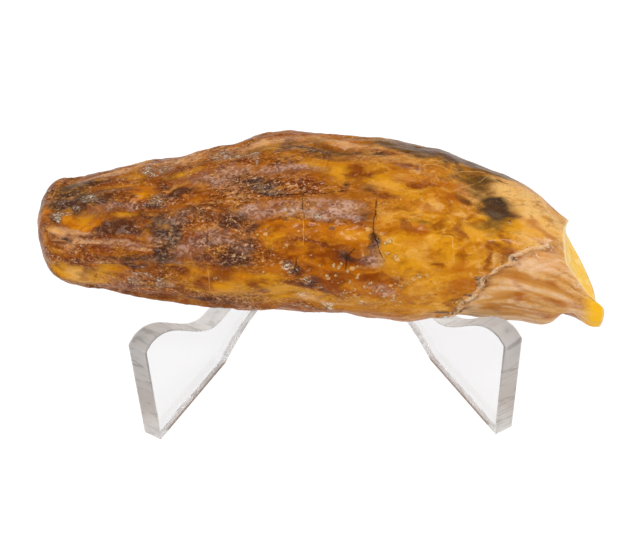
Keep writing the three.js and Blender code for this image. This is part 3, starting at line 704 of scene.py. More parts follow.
def main_relief(x, angle):
    """The relief of the solid: lumps, furrows, growth waves, the chip and the step at the ledge.

    Lumps and the chip are bells e^(-u^2 - v^2) and e^(-u^2 - v^4), furrows and waves are sines round
    and along the tooth, and past the ledge the surface steps down and climbs back as e^(-t).
    """
    radius = sum(half_sizes(x)) / 2
    height = np.zeros_like(x)
    for lump_x, lump_angle, half_length, half_width, rise in LUMPS:
        across = np.radians(wrap(angle - lump_angle)) * radius
        height += rise * np.exp(-(((x - lump_x) / half_length) ** 2) - (across / half_width) ** 2)
    past_tip = smoothstep(x, ROOT_END, TIP_SMOOTH_TO)
    for count, rise, phase, twist in FURROWS:
        strength = rise * past_tip * (1 - FURROWS_LOST * smoothstep(x, *FURROWS_FADE))
        height += strength * np.sin(count * np.radians(angle) + phase + twist * x)
    for per_mm, rise, phase, turns in WAVES:
        strength = rise * past_tip * (1 - smoothstep(x, *WAVES_FADE))
        height += strength * np.sin(per_mm * x + turns * np.radians(angle) + phase)
    chip_x, chip_angle, half_length, half_angle, depth = CHIP
    across = wrap(angle - chip_angle) / half_angle
    height -= depth * np.exp(-(((x - chip_x) / half_length) ** 2) - across**4)
    beyond = x - ledge_x(angle)
    full = LOW_STEP + (1 - LOW_STEP) * smoothstep(angle, *STEP_GROWS)
    drop = LEDGE_DROP * ledge_room(angle) * full
    step = smoothstep(beyond, 0, LEDGE_WIDTH) * np.exp(-np.maximum(beyond, 0) / LEDGE_FADE)
    return height - drop * step


def line_distances(x, across, radius_at, lines):
    """Signed and plain distance in mm to the nearest of several lines on the unrolled surface.

    The sign tells the side of the nearest stretch, so that a thin line stays sharp between vertices.
    """
    signed = np.full_like(x, FAR_AWAY)
    plain = np.full_like(x, FAR_AWAY)
    for line in lines:
        places = [(px, math.radians(pa) * float(radius_at(np.array(px)))) for px, pa in line]
        for (x0, a0), (x1, a1) in zip(places, places[1:]):
            length = math.hypot(x1 - x0, a1 - a0)
            along_x, along_a = (x1 - x0) / length, (a1 - a0) / length
            t = np.clip((x - x0) * along_x + (across - a0) * along_a, 0, length)
            distance = np.hypot(x - x0 - t * along_x, across - a0 - t * along_a)
            side = (x - x0) * along_a - (across - a0) * along_x
            closer = distance < plain
            plain = np.where(closer, distance, plain)
            signed = np.where(closer, side, signed)
    return signed, plain


def mean_radius(x):
    """Mean of the section's two half sizes, with the root's rounded end left out."""
    return sum(half_sizes(np.maximum(x, ROOT_END + ROOT_CAP))) / 2


def tooth_masks(x, angle, base):
    """Where each stain and mark lies, as numbers from 0 to 1 at each vertex, and the fine relief.

    A stain is a sum of bell-shaped spots over bent coordinates: strength e^(-u^2 - v^2), where u and
    v are the way along and round in half lengths. On the far side noise takes the spots' place.
    """
    names = ["bend", "edge", "far", "fine"]
    noise = {name: Noise(seed) for seed, name in enumerate(names, FIRST_SEED)}
    streaky = base * STREAKY
    bend_x = BEND_ALONG * noise["bend"].layered(streaky / BEND_SIZE, 5)
    bend_a = BEND_ROUND * noise["bend"].layered(streaky / BEND_SIZE + 40, 5)
    fray = 1 + FRAY * noise["edge"].layered(streaky / FRAY_SIZE, 5)
    radius = mean_radius(x)
    turned = wrap(angle - FRONT_SIDE)
    far = np.maximum(smoothstep(np.abs(turned), *FAR_SIDE), smoothstep(x, *ROOT_FACE))
    neck = smoothstep(x, *NECK)
    masks = {}
    for index, (name, spots) in enumerate(STAINS.items()):
        total = np.zeros_like(x)
        for spot_x, spot_angle, half_length, half_angle, strength in spots:
            along = (x + bend_x - spot_x) / half_length
            around = wrap(angle + bend_a - spot_angle) / half_angle
            total += strength * np.exp(-(along**2) - around**2)
        wild = noise["far"].layered(streaky / FAR_SIZE + 13.7 * (index + 1), 3)
        on_root, on_neck = FAR_SHARES[name]
        share = on_root + (on_neck - on_root) * neck
        total += far * np.clip(FAR_STRENGTH * wild + FAR_LIFT, 0, 1) * share
        masks[name] = np.clip(total * fray, 0, STRONGEST)

    jitter = LINE_JITTER * noise["bend"].layered(base / LINE_JITTER_SIZE + 80, 3)
    across = np.radians(turned) * radius + math.radians(FRONT_SIDE) * radius + jitter
    for name, lines in (("crack", CRACKS), ("hairline", HAIRLINES), ("vein", VEINS)):
        signed, plain = line_distances(x + jitter, across, mean_radius, lines)
        masks[name], masks["near_" + name] = signed, plain

    grains = np.zeros_like(x)
    for grain_x, grain_angle, size in GRAINS:
        arc = np.radians(wrap(angle - grain_angle)) * radius
        grains = np.maximum(grains, 1 - ((x - grain_x) ** 2 + arc**2) / size**2)
    masks["grain"] = np.sqrt(np.clip(grains, 0, 1))
    return masks, noise


def fine_relief(x, angle, base, masks, noise):
    """Relief finer than the solid's: streaks, knobs, pits, cracks, grains, crust and striations.

    Streaks and knobs are layered noise, pits and crust are steps of the distance to scattered dots,
    and cracks, the lip and the crumbling along the ledge are bells e^(-t^2) across their lines.
    """
    beyond = x - ledge_x(angle)
    room = ledge_room(angle)
    crown = smoothstep(beyond, *CROWN_RELIEF) * room
    on_cement = 1 - crown
    height = np.zeros_like(x)
    strength = (1 - 0.5 * smoothstep(x, *SMOOTHER_FROM)) * (on_cement + ON_CROWN * crown)
    for index, (length, width, rise) in enumerate(RELIEF_LAYERS):
        grain = base / [length, width, width] + 9.1 * index
        height += rise * strength * noise["fine"].layered(grain, 2)
    dots, number = noise["edge"].nearest(base / PIT_SPACING)
    chosen = smoothstep(number, *PITTED)
    height -= PIT_DEPTH * on_cement * chosen * smoothstep(dots, *PIT_RADIUS)
    height -= GROOVE_DEPTH * bell(masks["near_crack"], 0, GROOVE_WIDTH)
    height += GRAIN_HEIGHT * masks["grain"]
    lumpy, _ = noise["fine"].nearest(base / CRUST_SPACING)
    height += CRUST_HEIGHT * masks["crust"] * (1 - lumpy)
    height += LEDGE_LIP * room * bell(beyond, LIP_PLACE, LIP_WIDTH)
    low_down = CRUMBLE_LEAST + (1 - CRUMBLE_LEAST) * smoothstep(angle, *CRUMBLE_GROWS)
    crumble = room * bell(beyond, 0, CRUMBLE_WIDTH) * low_down
    height += CRUMBLE_HEIGHT * crumble * (noise["edge"].layered(base / CRUMBLE_SIZE, 3) - CRUMBLE_LOWER)
    height += STRIPE_HEIGHT * crown * stripes(x, angle, noise)
    return height


def stripes(x, angle, noise):
    """Lines that run along the flaked crown, about 1.5 mm apart with finer ones between them."""
    start, spread = STRIPE_SPREAD
    turned = angle + STRIPE_TWIST * (x - STRIPE_START) + spread * np.maximum(0, start - x)
    track = np.stack([x / STRIPE_LENGTH, turned / STRIPE_ANGLE, x * 0], axis=-1)
    finer = noise["fine"].smooth(track * FINE_STRIPE_GRAIN + 5)
    return noise["edge"].smooth(track) + FINE_STRIPES * finer


def tooth_grid(settings):
    """x and angle of every vertex, ring by ring, from the root's end to the break's edge.

    The rings start flat and bend with t^3 until one of them follows the ledge; on the crown they
    turn evenly from the ledge to the break's edge.
    """
    angle = np.arange(settings.angles_round) * 360 / settings.angles_round - 180
    edge = break_x(angle)
    ledge = np.minimum(ledge_x(angle), edge - RINGS_FROM_BREAK)
    rings = [np.full_like(angle, ROOT_END + gap) for gap in CAP_GAPS]
    start = ROOT_END + CAP_GAPS[-1]
    for t in np.linspace(0, 1, settings.root_rings + 1)[1:]:
        rings.append(start + (LEDGE_START - start) * t + (ledge - LEDGE_START) * t**3)
    for t in np.linspace(0, 1, WALL_RINGS + 1)[1:]:
        rings.append(ledge + LEDGE_WIDTH * t)
    foot = rings[-1]
    for t in np.linspace(0, 1, settings.crown_rings + 1)[1:]:
        rings.append(foot + (edge - foot) * t)
    x = np.array(rings)
    return x, np.broadcast_to(angle, x.shape)


def break_plane(edge, middle):
    """The mean plane of the break's edge, as x for a given y and z."""
    away = edge - middle
    slopes, *_ = np.linalg.lstsq(away[:, 1:], away[:, 0], rcond=None)
    return lambda point: middle[0] + (point[..., 1:] - middle[1:]) @ slopes


def dish_rings(edge, middle, count, noise):
    """Rings from the edge of the break to its middle, over a dish with shell-like ripples.

    With t the way in, the dish is BREAK_DISH t (2 - t) below the mean plane of the edge, and what
    stands proud at the edge dies out as e^(-t / SPLINTER_WALL).
    """
    plane = break_plane(edge, middle)
    t = (np.arange(1, count) / count)[:, None]
    rings = edge + (middle - edge) * t[..., None]
    proud = (edge[:, 0] - plane(edge)) * np.exp(-t / SPLINTER_WALL)
    dish = BREAK_DISH * t * (2 - t)
    wander = RIPPLE_WANDER * noise["edge"].smooth(rings / RIPPLE_WANDER_SIZE)
    ripple = RIPPLE_HEIGHT * np.sin(RIPPLES * t + wander)
    rough = ROUGH_HEIGHT * noise["fine"].layered(rings / ROUGH_SIZE, 3)
    rings[..., 0] = plane(rings) - dish + proud + (ripple + rough) * np.sin(np.pi * t)
    return rings


def build_tooth_mesh(settings):
    """The tooth's skin: section points pushed out by the main and fine relief, closed at each end."""
    x, angle = tooth_grid(settings)
    base = section_point(x, angle, 0)
    masks, noise = tooth_masks(x, angle, base)
    relief = main_relief(x, angle) + fine_relief(x, angle, base, masks, noise) * settings.relief
    relief -= TOOTH_INSET * smoothstep(x, ROOT_END, ROOT_END + ROOT_CAP)
    outside = section_point(x, angle, relief)
    outside = np.clip(outside, tooth_low - SHIFT, tooth_high - SHIFT)
    edge = outside[-1]
    middle = edge.mean(axis=0)
    dish = dish_rings(edge, middle, settings.break_rings, noise)
    rings = np.concatenate([outside, dish])
    root_point = np.array([ROOT_END, SECTIONS[0, 1], SECTIONS[0, 2]])
    mesh = skin_mesh("fossil_tooth", rings, root_point, middle - [BREAK_DISH, 0, 0])

    masks.update(place_masks(x, angle, masks, noise))
    count, around = dish.shape[:2]
    for name, values in masks.items():
        on_break = FAR_AWAY if name.startswith("near_") else float(name in FULL_ON_BREAK)
        inside = np.full(count * around, on_break)
        if name == "inward":
            inside = np.repeat(np.arange(1, count + 1) / (count + 1), around)
        store(mesh, name, np.concatenate([values.ravel(), inside, [0, on_break]]))
    return mesh


def place_masks(x, angle, masks, noise):
    """The numbers that follow places: the ledge, the neck, the crown, the tip and the break's rim."""
    beyond = x - ledge_x(angle)
    room = ledge_room(angle)
    crown = smoothstep(beyond, *CROWN_COLOUR) * room
    clear = np.clip(sum(share * masks[name] for name, share in CLEAR_SHARES.items()), 0, 1)
    weathering = 1 - WEATHERING_LOST * smoothstep(x, *WEATHERING_FADES)
    from_above = smoothstep(angle, *TIP_FROM_ABOVE)
    return {
        "crown": crown,
        "cement": 1 - crown,
        "crown_side": smoothstep(x, *TOWARDS_CROWN) * (1 - crown),
        "ledge": bell(beyond, *LEDGE_BAND) * room,
        "lip": bell(beyond, *LIP_BAND) * room,
        # Painted shade on the step, below the lip.
        "step_shade": bell(beyond, *STEP_SHADE_BAND) * room,
        "stripe": np.clip(0.5 + 0.8 * stripes(x, angle, noise), 0, 1),
        "along": (x - ROOT_END) / (BREAK_EDGE[:, 1].max() - ROOT_END),
        "clear": clear,
        "weathered": weathering * (1 - CLEAR_SPARED * clear),
        "tip": smoothstep(x, *TIP) * smoothstep(angle, *TIP_FROM_BELOW) * from_above,
        "rim": np.exp((x - break_x(angle)) / RIM_WIDTH),
        "broken": np.zeros_like(x),
        "inward": np.zeros_like(x),
    }


def store(mesh, name, values):
    """Keeps one number at each vertex, for the material to read by name."""
    attribute = mesh.attributes.new(name, "FLOAT", "POINT")
    attribute.data.foreach_set("value", np.asarray(values, np.float32))


# Noise over the surface: size of its grain in mm, stretch along the tooth, detail, roughness, bend.
# The grit is coarser than the real grain of the cement, so that it shows.
NOISES = {
    "cloud": (6.0, 1.4, 3.0, 0.5, 0.5),
    "mottle": (2.0, 1.7, 6.0, 0.62, 0.7),
    "streak": (0.9, 2.3, 5.0, 0.65, 1.6),
    "worm": (1.4, 1.5, 2.0, 0.5, 2.6),
    "grit": (0.4, 1.4, 3.0, 0.65, 0.8),
    "knob": (0.8, 1.4, 1.0, 0.5, 1.2),
    "flow": (1.6, 4.0, 3.0, 0.5, 1.0),
    "haze": (3.4, 1.5, 3.0, 0.5, 0.9),
    "fleck": (1.1, 1.4, 3.0, 0.6, 0.9),
}
GRANULE_SPACING = 1.1  # between the white granules
GRANULE_BEND = 0.9  # how far noise bends them

# Every attribute that the material reads.
TOOTH_MASKS = [
    *STAINS,
    *("crack", "near_crack", "hairline", "near_hairline", "vein", "near_vein", "grain"),
    *("crown", "ledge", "lip", "step_shade", "stripe", "along", "weathered", "clear", "crown_side", "cement"),
    *("tip", "rim", "broken", "inward"),
]

# Colours of the clean cement from the root's end to the neck: share of the way, colour.
CEMENT_TONES = [(0.0, "#94500E"), (0.25, "#9A4E08"), (0.5, "#A85C00"), (0.72, "#C87C10"), (1.0, "#E4A44A")]
# Colours of the flaked dentine of the crown, from the dark lines to the pale ones.
DENTINE_TONES = [(0.05, "#C4833C"), (0.32, "#D2934C"), (0.62, "#DEA866"), (0.95, "#EABE90")]

# Pigments, laid one over another in this order: colour, how far it covers, the noise that cuts its
# edge, how strongly that noise cuts, and how soft the edge is.
CLEAR_PIGMENTS = [
    ("gold", "#DE9818", 0.85, "mottle", 1.6, 0.5),
    ("amber", "#BE6A00", 0.95, "mottle", 1.2, 0.4),
    ("pale", "#F4C276", 0.88, "mottle", 1.2, 0.5),
    # The pinkish cream pigment below is painted highlight.
    ("painted_highlight", "#E4AC78", 0.85, "streak", 2.6, 0.4),
]
DARK_PIGMENTS = [
    ("orange", "#B05A06", 0.7, "mottle", 1.4, 0.6),
    ("rust", "#803602", 0.88, "mottle", 2.4, 0.5),
    ("olive", "#523A1A", 0.88, "mottle", 1.6, 0.6),
    ("manganese", "#4E2A1A", 0.88, "mottle", 2.0, 0.45),
    ("black", "#2C241F", 0.92, "mottle", 0.3, 0.6),
    # The cool grey pigment below is painted sheen on the darkest stains.
    ("bloom", "#74604F", 0.6, "streak", 2.2, 0.4),
    # The pink to lilac pigment below is partly a mineral film and partly painted sheen of the overhead
    # light.
    ("film", "#986850", 0.62, "streak", 2.0, 0.45),
]

# Soft changes of tone between the clear pigments and the dark ones. Each row of the tables of
# marks: colour, what it follows, where that starts and is full, cover, and where it lies.
SOFT_MARKS = [
    ("#F2BC6C", "haze", 0.47, 0.32, 0.60, "crown_side"),
    ("#A65604", "haze", 0.52, 0.74, 0.72, "crown_side"),
    ("#EAA628", "mottle", 0.46, 0.34, 0.50, "crown_side"),
    ("#AE5A08", "mottle", 0.55, 0.68, 0.55, "crown_side"),
    ("#BE6C0C", "fleck", 0.54, 0.66, 0.40, "crown_side"),
    ("#F6C680", "fleck", 0.45, 0.34, 0.40, "crown_side"),
    ("#E29806", "haze", 0.47, 0.34, 0.75, "clear"),
    ("#843A00", "haze", 0.50, 0.72, 0.75, "clear"),
    ("#E8A010", "fleck", 0.45, 0.34, 0.35, "clear"),
    ("#C8821C", "haze", 0.46, 0.33, 0.55, "weathered"),
    ("#5C3828", "haze", 0.55, 0.68, 0.50, "weathered"),
    ("#C48E64", "cloud", 0.54, 0.66, 0.35, "weathered"),
    ("#F0CCA8", "flow", 0.50, 0.34, 0.50, "crown"),
    ("#C07828", "mottle", 0.58, 0.74, 0.40, "crown"),
]

# Fine marks over the pigments.
FINE_MARKS = [
    ("#58270B", "mottle", 0.50, 0.66, 0.50, "weathered"),
    ("#D68C30", "mottle", 0.47, 0.32, 0.50, "weathered"),
    ("#54260E", "streak", 0.52, 0.62, 0.65, "patchy"),
    ("#D8985C", "streak", 0.46, 0.36, 0.65, "patchy"),
    ("#34180E", "grit", 0.52, 0.62, 0.80, "patchy"),
    # Pale specks over the weathered patches: partly the cement's grain, partly painted glints.
    ("#E8BC98", "grit", 0.44, 0.34, 0.70, "patchy"),
    # Over the pink to lilac patches: pale specks are painted glints of the overhead light, with darker
    # specks between them.
    ("#D4AA94", "knob", 0.52, 0.60, 0.70, "film"),
    ("#C8A08C", "grit", 0.50, 0.60, 0.50, "film"),
    ("#4A2418", "knob", 0.44, 0.36, 0.50, "film"),
    # Grey specks over the manganese: painted glints.
    ("#96786A", "knob", 0.56, 0.64, 0.40, "manganese"),
    ("#6E3408", "grit", 0.68, 0.75, 0.75, "crown_side"),
    # Painted shade: soft brown on the step's wall, below the raised lip.
    ("#B07038", "step_shade", 0.10, 1.00, 0.50, "step_shade"),
    ("#F0C698", "lip", 0.15, 0.90, 0.75, "lip"),
    # Dark brown specks along the step: partly the crumbling edge's pits, partly painted shade of the step.
    ("#7A4620", "grit", 0.52, 0.64, 0.60, "ledge"),
    ("#F4D0A4", "knob", 0.52, 0.62, 0.60, "ledge"),
    ("#B09070", "crust", 0.30, 1.30, 0.25, "cement"),
    ("#F0DEC4", "crust_lines", 0.10, 0.80, 0.85, "cement"),
    ("#ECC088", "granule", 0.20, 0.80, 0.80, "cement"),
    ("#E8BA7C", "grain", 0.30, 0.75, 0.60, "cement"),
    ("#FCBC0A", "tip", 0.00, 1.00, 0.95, "tip"),
    ("#F4C456", "broken", 0.40, 0.60, 1.00, "broken"),
    ("#D8962C", "mottle", 0.48, 0.66, 0.55, "inward"),
    ("#FCE29C", "flow", 0.48, 0.34, 0.45, "broken"),
    ("#C27C22", "inward", 0.45, 0.90, 0.60, "inward"),
    ("#9A5A18", "fleck", 0.52, 0.66, 0.60, "inward"),
    ("#7A4416", "inward", 0.90, 0.97, 0.75, "inward"),
    ("#FBE2AE", "rim", 0.10, 0.80, 0.90, "rim"),
]

# Lines: half width, colour, cover and the noise that breaks them.
LINES = [
    ("vein", 0.12, "#EEBE74", 0.42, "mottle"),
    ("crack", 0.13, "#5A3014", 0.8, "streak"),
    ("hairline", 0.09, "#4A2814", 0.5, "streak"),
]

# Fine relief, drawn as bump: what it follows and its height, in steps of BUMP_DISTANCE.
COARSE_BUMPS = [("knob", 1.2), ("grit", 0.3), ("streak", 0.6), ("worm", 0.4), ("crust_lines", 0.6)]
SHARP_BUMPS = [("granule", 0.9), ("line_crack", -0.8), ("line_hairline", -0.3)]
BUMP_DISTANCE = 0.25
SMOOTH_BUMPS = 0.25  # share of the coarse bumps that is left on the smoothest cement
WEATHERED_GLOSS = 0.08  # how much less rough the weathered cement is

STAIN_THERE = (0.02, 0.3)  # a pigment only lies where its stain is stronger than this
STAIN_EDGE = 0.4  # strength of a stain at the middle of its pigment's edge
PATCHES = (0.42, 0.56, 0.3, 1.0)  # what the cloud noise makes of the weathering's fine marks
# How far noises push the scales of tone: the noise, along the cement, across the dentine.
TONE_SHIFTS = [("mottle", 0.45, 0.36), ("cloud", 0.6, 0.48)]

SMOOTH = {"interpolation_type": "SMOOTHSTEP"}
ADD = {"operation": "ADD"}
MULTIPLY = {"operation": "MULTIPLY"}
MULTIPLY_ADD = {"operation": "MULTIPLY_ADD"}
SUBTRACT = {"operation": "SUBTRACT"}
ABSOLUTE = {"operation": "ABSOLUTE"}


def span(value, low, high, least=0.0, most=1.0):
    """Inputs of a Map Range: the result runs from least to most while the value runs low to high."""
    return {"Value": value, "From Min": low, "From Max": high, "To Min": least, "To Max": most}


def lay_mark(tree, under, tone, source, low, high, cover, where):
    """Lays a tone over the colour so far: a smooth step of the source, times cover, times where."""
    amount = add_node(tree, "ShaderNodeMapRange", SMOOTH, span(source, low, high, 0.0, cover))
    share = add_node(tree, "ShaderNodeMath", MULTIPLY, {0: amount, 1: where})
    return add_node(
        tree,
        "ShaderNodeMix",
        {"data_type": "RGBA", "clamp_factor": True},
        {0: share, 6: under, 7: linear(tone) if isinstance(tone, str) else tone},
        output=2,
    )


def lay_pigments(tree, colour, source, pigments):
    """Lays each pigment where its stain, pushed up and down by noise, passes a soft limit."""
    for name, tone, cover, cutter, cut, edge in pigments:
        ragged = add_node(
            tree, "ShaderNodeMath", MULTIPLY_ADD, {0: source[cutter], 1: cut, 2: source[name]}
        )
        inside = add_node(tree, "ShaderNodeMapRange", SMOOTH, span(source[name], *STAIN_THERE))
        middle = STAIN_EDGE + cut / 2
        colour = lay_mark(tree, colour, tone, ragged, middle - edge, middle + edge, cover, inside)
    return colour


def tone_scale(tree, value, tones):
    """A scale of tones: each one is laid over the last as the value climbs from its stop to the next."""
    colour = linear(tones[0][1])
    for (low, _), (high, tone) in zip(tones, tones[1:]):
        colour = lay_mark(tree, colour, tone, value, low, high, 1.0, 1.0)
    return colour


def multiply_steps(tree, steps):
    """The product of smooth steps. Each step: a value, where it starts and ends, the share at each."""
    share = 1.0
    for step in steps:
        part = add_node(tree, "ShaderNodeMapRange", SMOOTH, span(*step))
        share = add_node(tree, "ShaderNodeMath", MULTIPLY, {0: share, 1: part})
    return share


def line_share(tree, source, name, half_width, cutter):
    """How much of a drawn line shows: near its middle, near its path, and where noise leaves it."""
    distance = add_node(tree, "ShaderNodeMath", ABSOLUTE, {0: source[name]})
    steps = [
        (distance, 0.02, half_width, 1.0, 0.0),
        (source["near_" + name], 0.2, 0.5, 1.0, 0.0),
        (source[cutter], 0.38, 0.56, 0.15, 1.0),
    ]
    return multiply_steps(tree, steps)


def mineral_noises(tree, coordinates):
    """The noises of the table, each moved to its own place."""
    noise = {}
    for index, (name, (size, stretch, detail, rough, bend)) in enumerate(NOISES.items()):
        scale = 1 / (size * MM)
        placed = add_node(
            tree,
            "ShaderNodeMapping",
            inputs={
                "Vector": coordinates,
                "Location": (7.3 * index, 3.1 * index, 5.7 * index),
                "Scale": (scale / stretch, scale, scale),
            },
        )
        noise[name] = add_node(
            tree,
            "ShaderNodeTexNoise",
            inputs={
                "Vector": placed,
                "Scale": 1.0,
                "Detail": detail,
                "Roughness": rough,
                "Distortion": bend,
            },
        )
    return noise


def crust_pattern(tree, source):
    """Thin winding ridges, where the winding noise crosses its middle, kept where crust lies."""
    centred = add_node(tree, "ShaderNodeMath", SUBTRACT, {0: source["worm"], 1: 0.5})
    winding = add_node(tree, "ShaderNodeMath", ABSOLUTE, {0: centred})
    steps = [
        (winding, 0.015, 0.07, 1.0, 0.0),
        (source["crust"], 0.15, 0.9, 0.0, 1.0),
        (source["streak"], 0.42, 0.56, 0.1, 1.0),
    ]
    return multiply_steps(tree, steps)


def granule_pattern(tree, coordinates, source):
    """Round grains of uneven size round scattered dots, kept where granules lie."""
    bent = add_node(
        tree,
        "ShaderNodeVectorMath",
        MULTIPLY_ADD,
        {0: source["knob"], 1: (GRANULE_BEND * MM,) * 3, 2: coordinates},
    )
    distance = add_node(
        tree,
        "ShaderNodeTexVoronoi",
        {"feature": "F1"},
        {"Vector": bent, "Scale": 1 / (GRANULE_SPACING * MM)},
        output="Distance",
    )
    steps = [
        (distance, 0.36, 0.20, 0.0, 1.0),
        (source["granules"], 0.25, 0.6, 0.0, 1.0),
        (source["grit"], 0.38, 0.5, 0.3, 1.0),
    ]
    return multiply_steps(tree, steps)


def fossil_material(settings):
    """Mineral-stained cement and dentine under wax: deep amber, dark blotches and a soft gloss, with
    painted sheen and highlights in the colour.
    """
    material, tree = new_material("waxed_fossil_dentine")
    coordinates = add_node(tree, "ShaderNodeTexCoord", output="Object")
    source = mineral_noises(tree, coordinates)
    for name in TOOTH_MASKS:
        source[name] = add_node(tree, "ShaderNodeAttribute", {"attribute_name": name}, output="Fac")
    source["crust_lines"] = crust_pattern(tree, source)
    source["granule"] = granule_pattern(tree, coordinates, source)
    patches = add_node(tree, "ShaderNodeMapRange", SMOOTH, span(source["cloud"], *PATCHES))
    source["patchy"] = add_node(tree, "ShaderNodeMath", MULTIPLY, {0: patches, 1: source["weathered"]})
    for name, half_width, _, _, cutter in LINES:
        source["line_" + name] = line_share(tree, source, name, half_width, cutter)

    # The noises push the scales of tone back and forth, so that no tone ends in a straight edge.
    along, striped = source["along"], source["stripe"]
    for noise, along_reach, stripe_reach in TONE_SHIFTS:
        centred = add_node(tree, "ShaderNodeMath", SUBTRACT, {0: source[noise], 1: 0.5})
        along = add_node(tree, "ShaderNodeMath", MULTIPLY_ADD, {0: centred, 1: along_reach, 2: along})
        striped = add_node(
            tree, "ShaderNodeMath", MULTIPLY_ADD, {0: centred, 1: stripe_reach, 2: striped}
        )
    root, *between, neck, near_crown = CEMENT_TONES
    tones = [(root[0], settings.root_tone), *between, (neck[0], settings.neck_tone), near_crown]
    cement = tone_scale(tree, along, tones)
    dentine = tone_scale(tree, striped, DENTINE_TONES)
    colour = lay_mark(tree, cement, dentine, source["crown"], 0.0, 1.0, 1.0, 1.0)
    colour = lay_pigments(tree, colour, source, CLEAR_PIGMENTS)
    for tone, name, low, high, cover, where in SOFT_MARKS:
        colour = lay_mark(tree, colour, tone, source[name], low, high, cover, source[where])
    colour = lay_pigments(tree, colour, source, DARK_PIGMENTS)
    for tone, name, low, high, cover, where in FINE_MARKS:
        colour = lay_mark(tree, colour, tone, source[name], low, high, cover, source[where])
    for name, _, tone, cover, _ in LINES:
        colour = lay_mark(tree, colour, tone, source["line_" + name], 0.0, 1.0, cover, 1.0)

    height = 0.0
    for name, rise in COARSE_BUMPS:
        height = add_node(tree, "ShaderNodeMath", MULTIPLY_ADD, {0: source[name], 1: rise, 2: height})
    weathered = source["weathered"]
    share = add_node(tree, "ShaderNodeMapRange", inputs=span(weathered, 0.0, 1.0, SMOOTH_BUMPS))
    height = add_node(tree, "ShaderNodeMath", MULTIPLY, {0: height, 1: share})
    for name, rise in SHARP_BUMPS:
        height = add_node(tree, "ShaderNodeMath", MULTIPLY_ADD, {0: source[name], 1: rise, 2: height})
    bump = add_node(
        tree,
        "ShaderNodeBump",
        inputs={"Strength": 1.0, "Distance": BUMP_DISTANCE * MM, "Height": height},
    )
    gloss = settings.gloss_roughness
    roughness = add_node(
        tree, "ShaderNodeMapRange", inputs=span(weathered, 0.0, 1.0, gloss, gloss - WEATHERED_GLOSS)
    )
    shader = add_node(
        tree,
        "ShaderNodeBsdfPrincipled",
        inputs={
            "Base Color": colour,
            "Roughness": roughness,
            "Normal": bump,
            "IOR": 1.54,
            "Specular IOR Level": 0.03,
            "Subsurface Weight": 0.08,
            "Subsurface Radius": (1.0, 0.4, 0.15),
            "Subsurface Scale": 0.8 * MM,
            "Coat Weight": settings.wax,
            "Coat Roughness": 0.15,
            "Coat IOR": 1.45,
        },
    )
    add_node(tree, "ShaderNodeOutputMaterial", inputs={"Surface": shader})
    return material


# ---- Stand --------------------------------------------------------------------------------------


def top_height(from_end):
    """Height of the strip's top: a short slope, the shoulder, the cradle and the spine."""
    corner = WING_END + (SHOULDER - WING_END) * from_end / CORNER_LENGTH
    down = np.clip((from_end - CRADLE_START) / (CRADLE_FOOT - CRADLE_START), 0, 1)
    up = np.clip((from_end - SPINE_START) / (HALF_LENGTH - SPINE_START), 0, 1)
    front = (SHOULDER - CRADLE_FLOOR) * (1 + np.cos(np.pi * down))
    spine = (SPINE_HEIGHT - CRADLE_FLOOR) * (1 - np.cos(np.pi * up))
    return np.where(from_end < CORNER_LENGTH, corner, CRADLE_FLOOR + (front + spine) / 2)


def underside_height(from_end):
    """Height of the strip's underside: 0 at the feet, and a parabola over the arch between them."""
    return ARCH_RISE * np.maximum(0, 1 - ((from_end - ARCH_MIDDLE) / ARCH_HALF) ** 2)


def strip_section(inset, ease):
    """The outline of the strip's section, as shares: (thickness share, height share, dx, dz).

    Each corner is a quarter circle of radius ease, with one more point on the flat beside it.
    """
    rows = []
    for start, (side, end) in zip((0, 90, 180, 270), ((1, 1), (0, 1), (0, 0), (1, 0))):
        inward = np.array([1 - 2 * side, 1 - 2 * end])
        angles = np.radians(np.linspace(start, start + 90, ARC_STEPS + 1))
        arc = np.stack([np.cos(angles), np.sin(angles)], axis=-1) * (ease - inset)
        offsets = inward * ease + arc
        before, after = offsets[0].copy(), offsets[-1].copy()
        along_end = start % 180 == 90
        before[0 if along_end else 1] += inward[0 if along_end else 1] * EDGE_SUPPORT
        after[1 if along_end else 0] += inward[1 if along_end else 0] * EDGE_SUPPORT
        corner = [before, *offsets, after]
        rows += [(side, end, dx, dz) for dx, dz in corner]
    return np.array(rows)


def strip_flats():
    """True at the points of a section that lie on the two broad faces, beside the eased corners."""
    corner = np.zeros(ARC_STEPS + 3, bool)
    first, last = corner.copy(), corner.copy()
    first[0] = last[-1] = True
    return np.concatenate([first, last, first, last])


def inner_side():
    """True at the points of a section that lie on the inner broad face and its eased corners."""
    corners = np.zeros((4, ARC_STEPS + 3), bool)
    corners[1:3] = True
    return corners.ravel()


def strip_rings(side, lengths, insets, ease):
    """Rings of the strip at lengths from the front end of the wing on one side (1 or -1).

    The path runs straight along the wing and then round the bend; each ring stands across it.
    """
    rings = []
    for from_end, inset in zip(lengths, insets):
        outline = strip_section(inset, ease)
        turn = SPLAY + max(0.0, from_end - WING_LENGTH) / BEND_RADIUS
        outward = np.array([side * math.cos(turn), math.sin(turn)])
        back = max(0.0, WING_LENGTH - from_end)
        inner = np.array([0, BEND_MIDDLE_Y]) + BEND_RADIUS * outward
        inner += back * np.array([side * math.sin(SPLAY), -math.cos(SPLAY)])
        depth = outline[:, 0] * SHEET + outline[:, 2]
        low, top = underside_height(from_end), float(top_height(np.array(from_end)))
        height = low + outline[:, 1] * (top - low) + outline[:, 3]
        rings.append(np.column_stack([inner + depth[:, None] * outward, height]))
    return rings


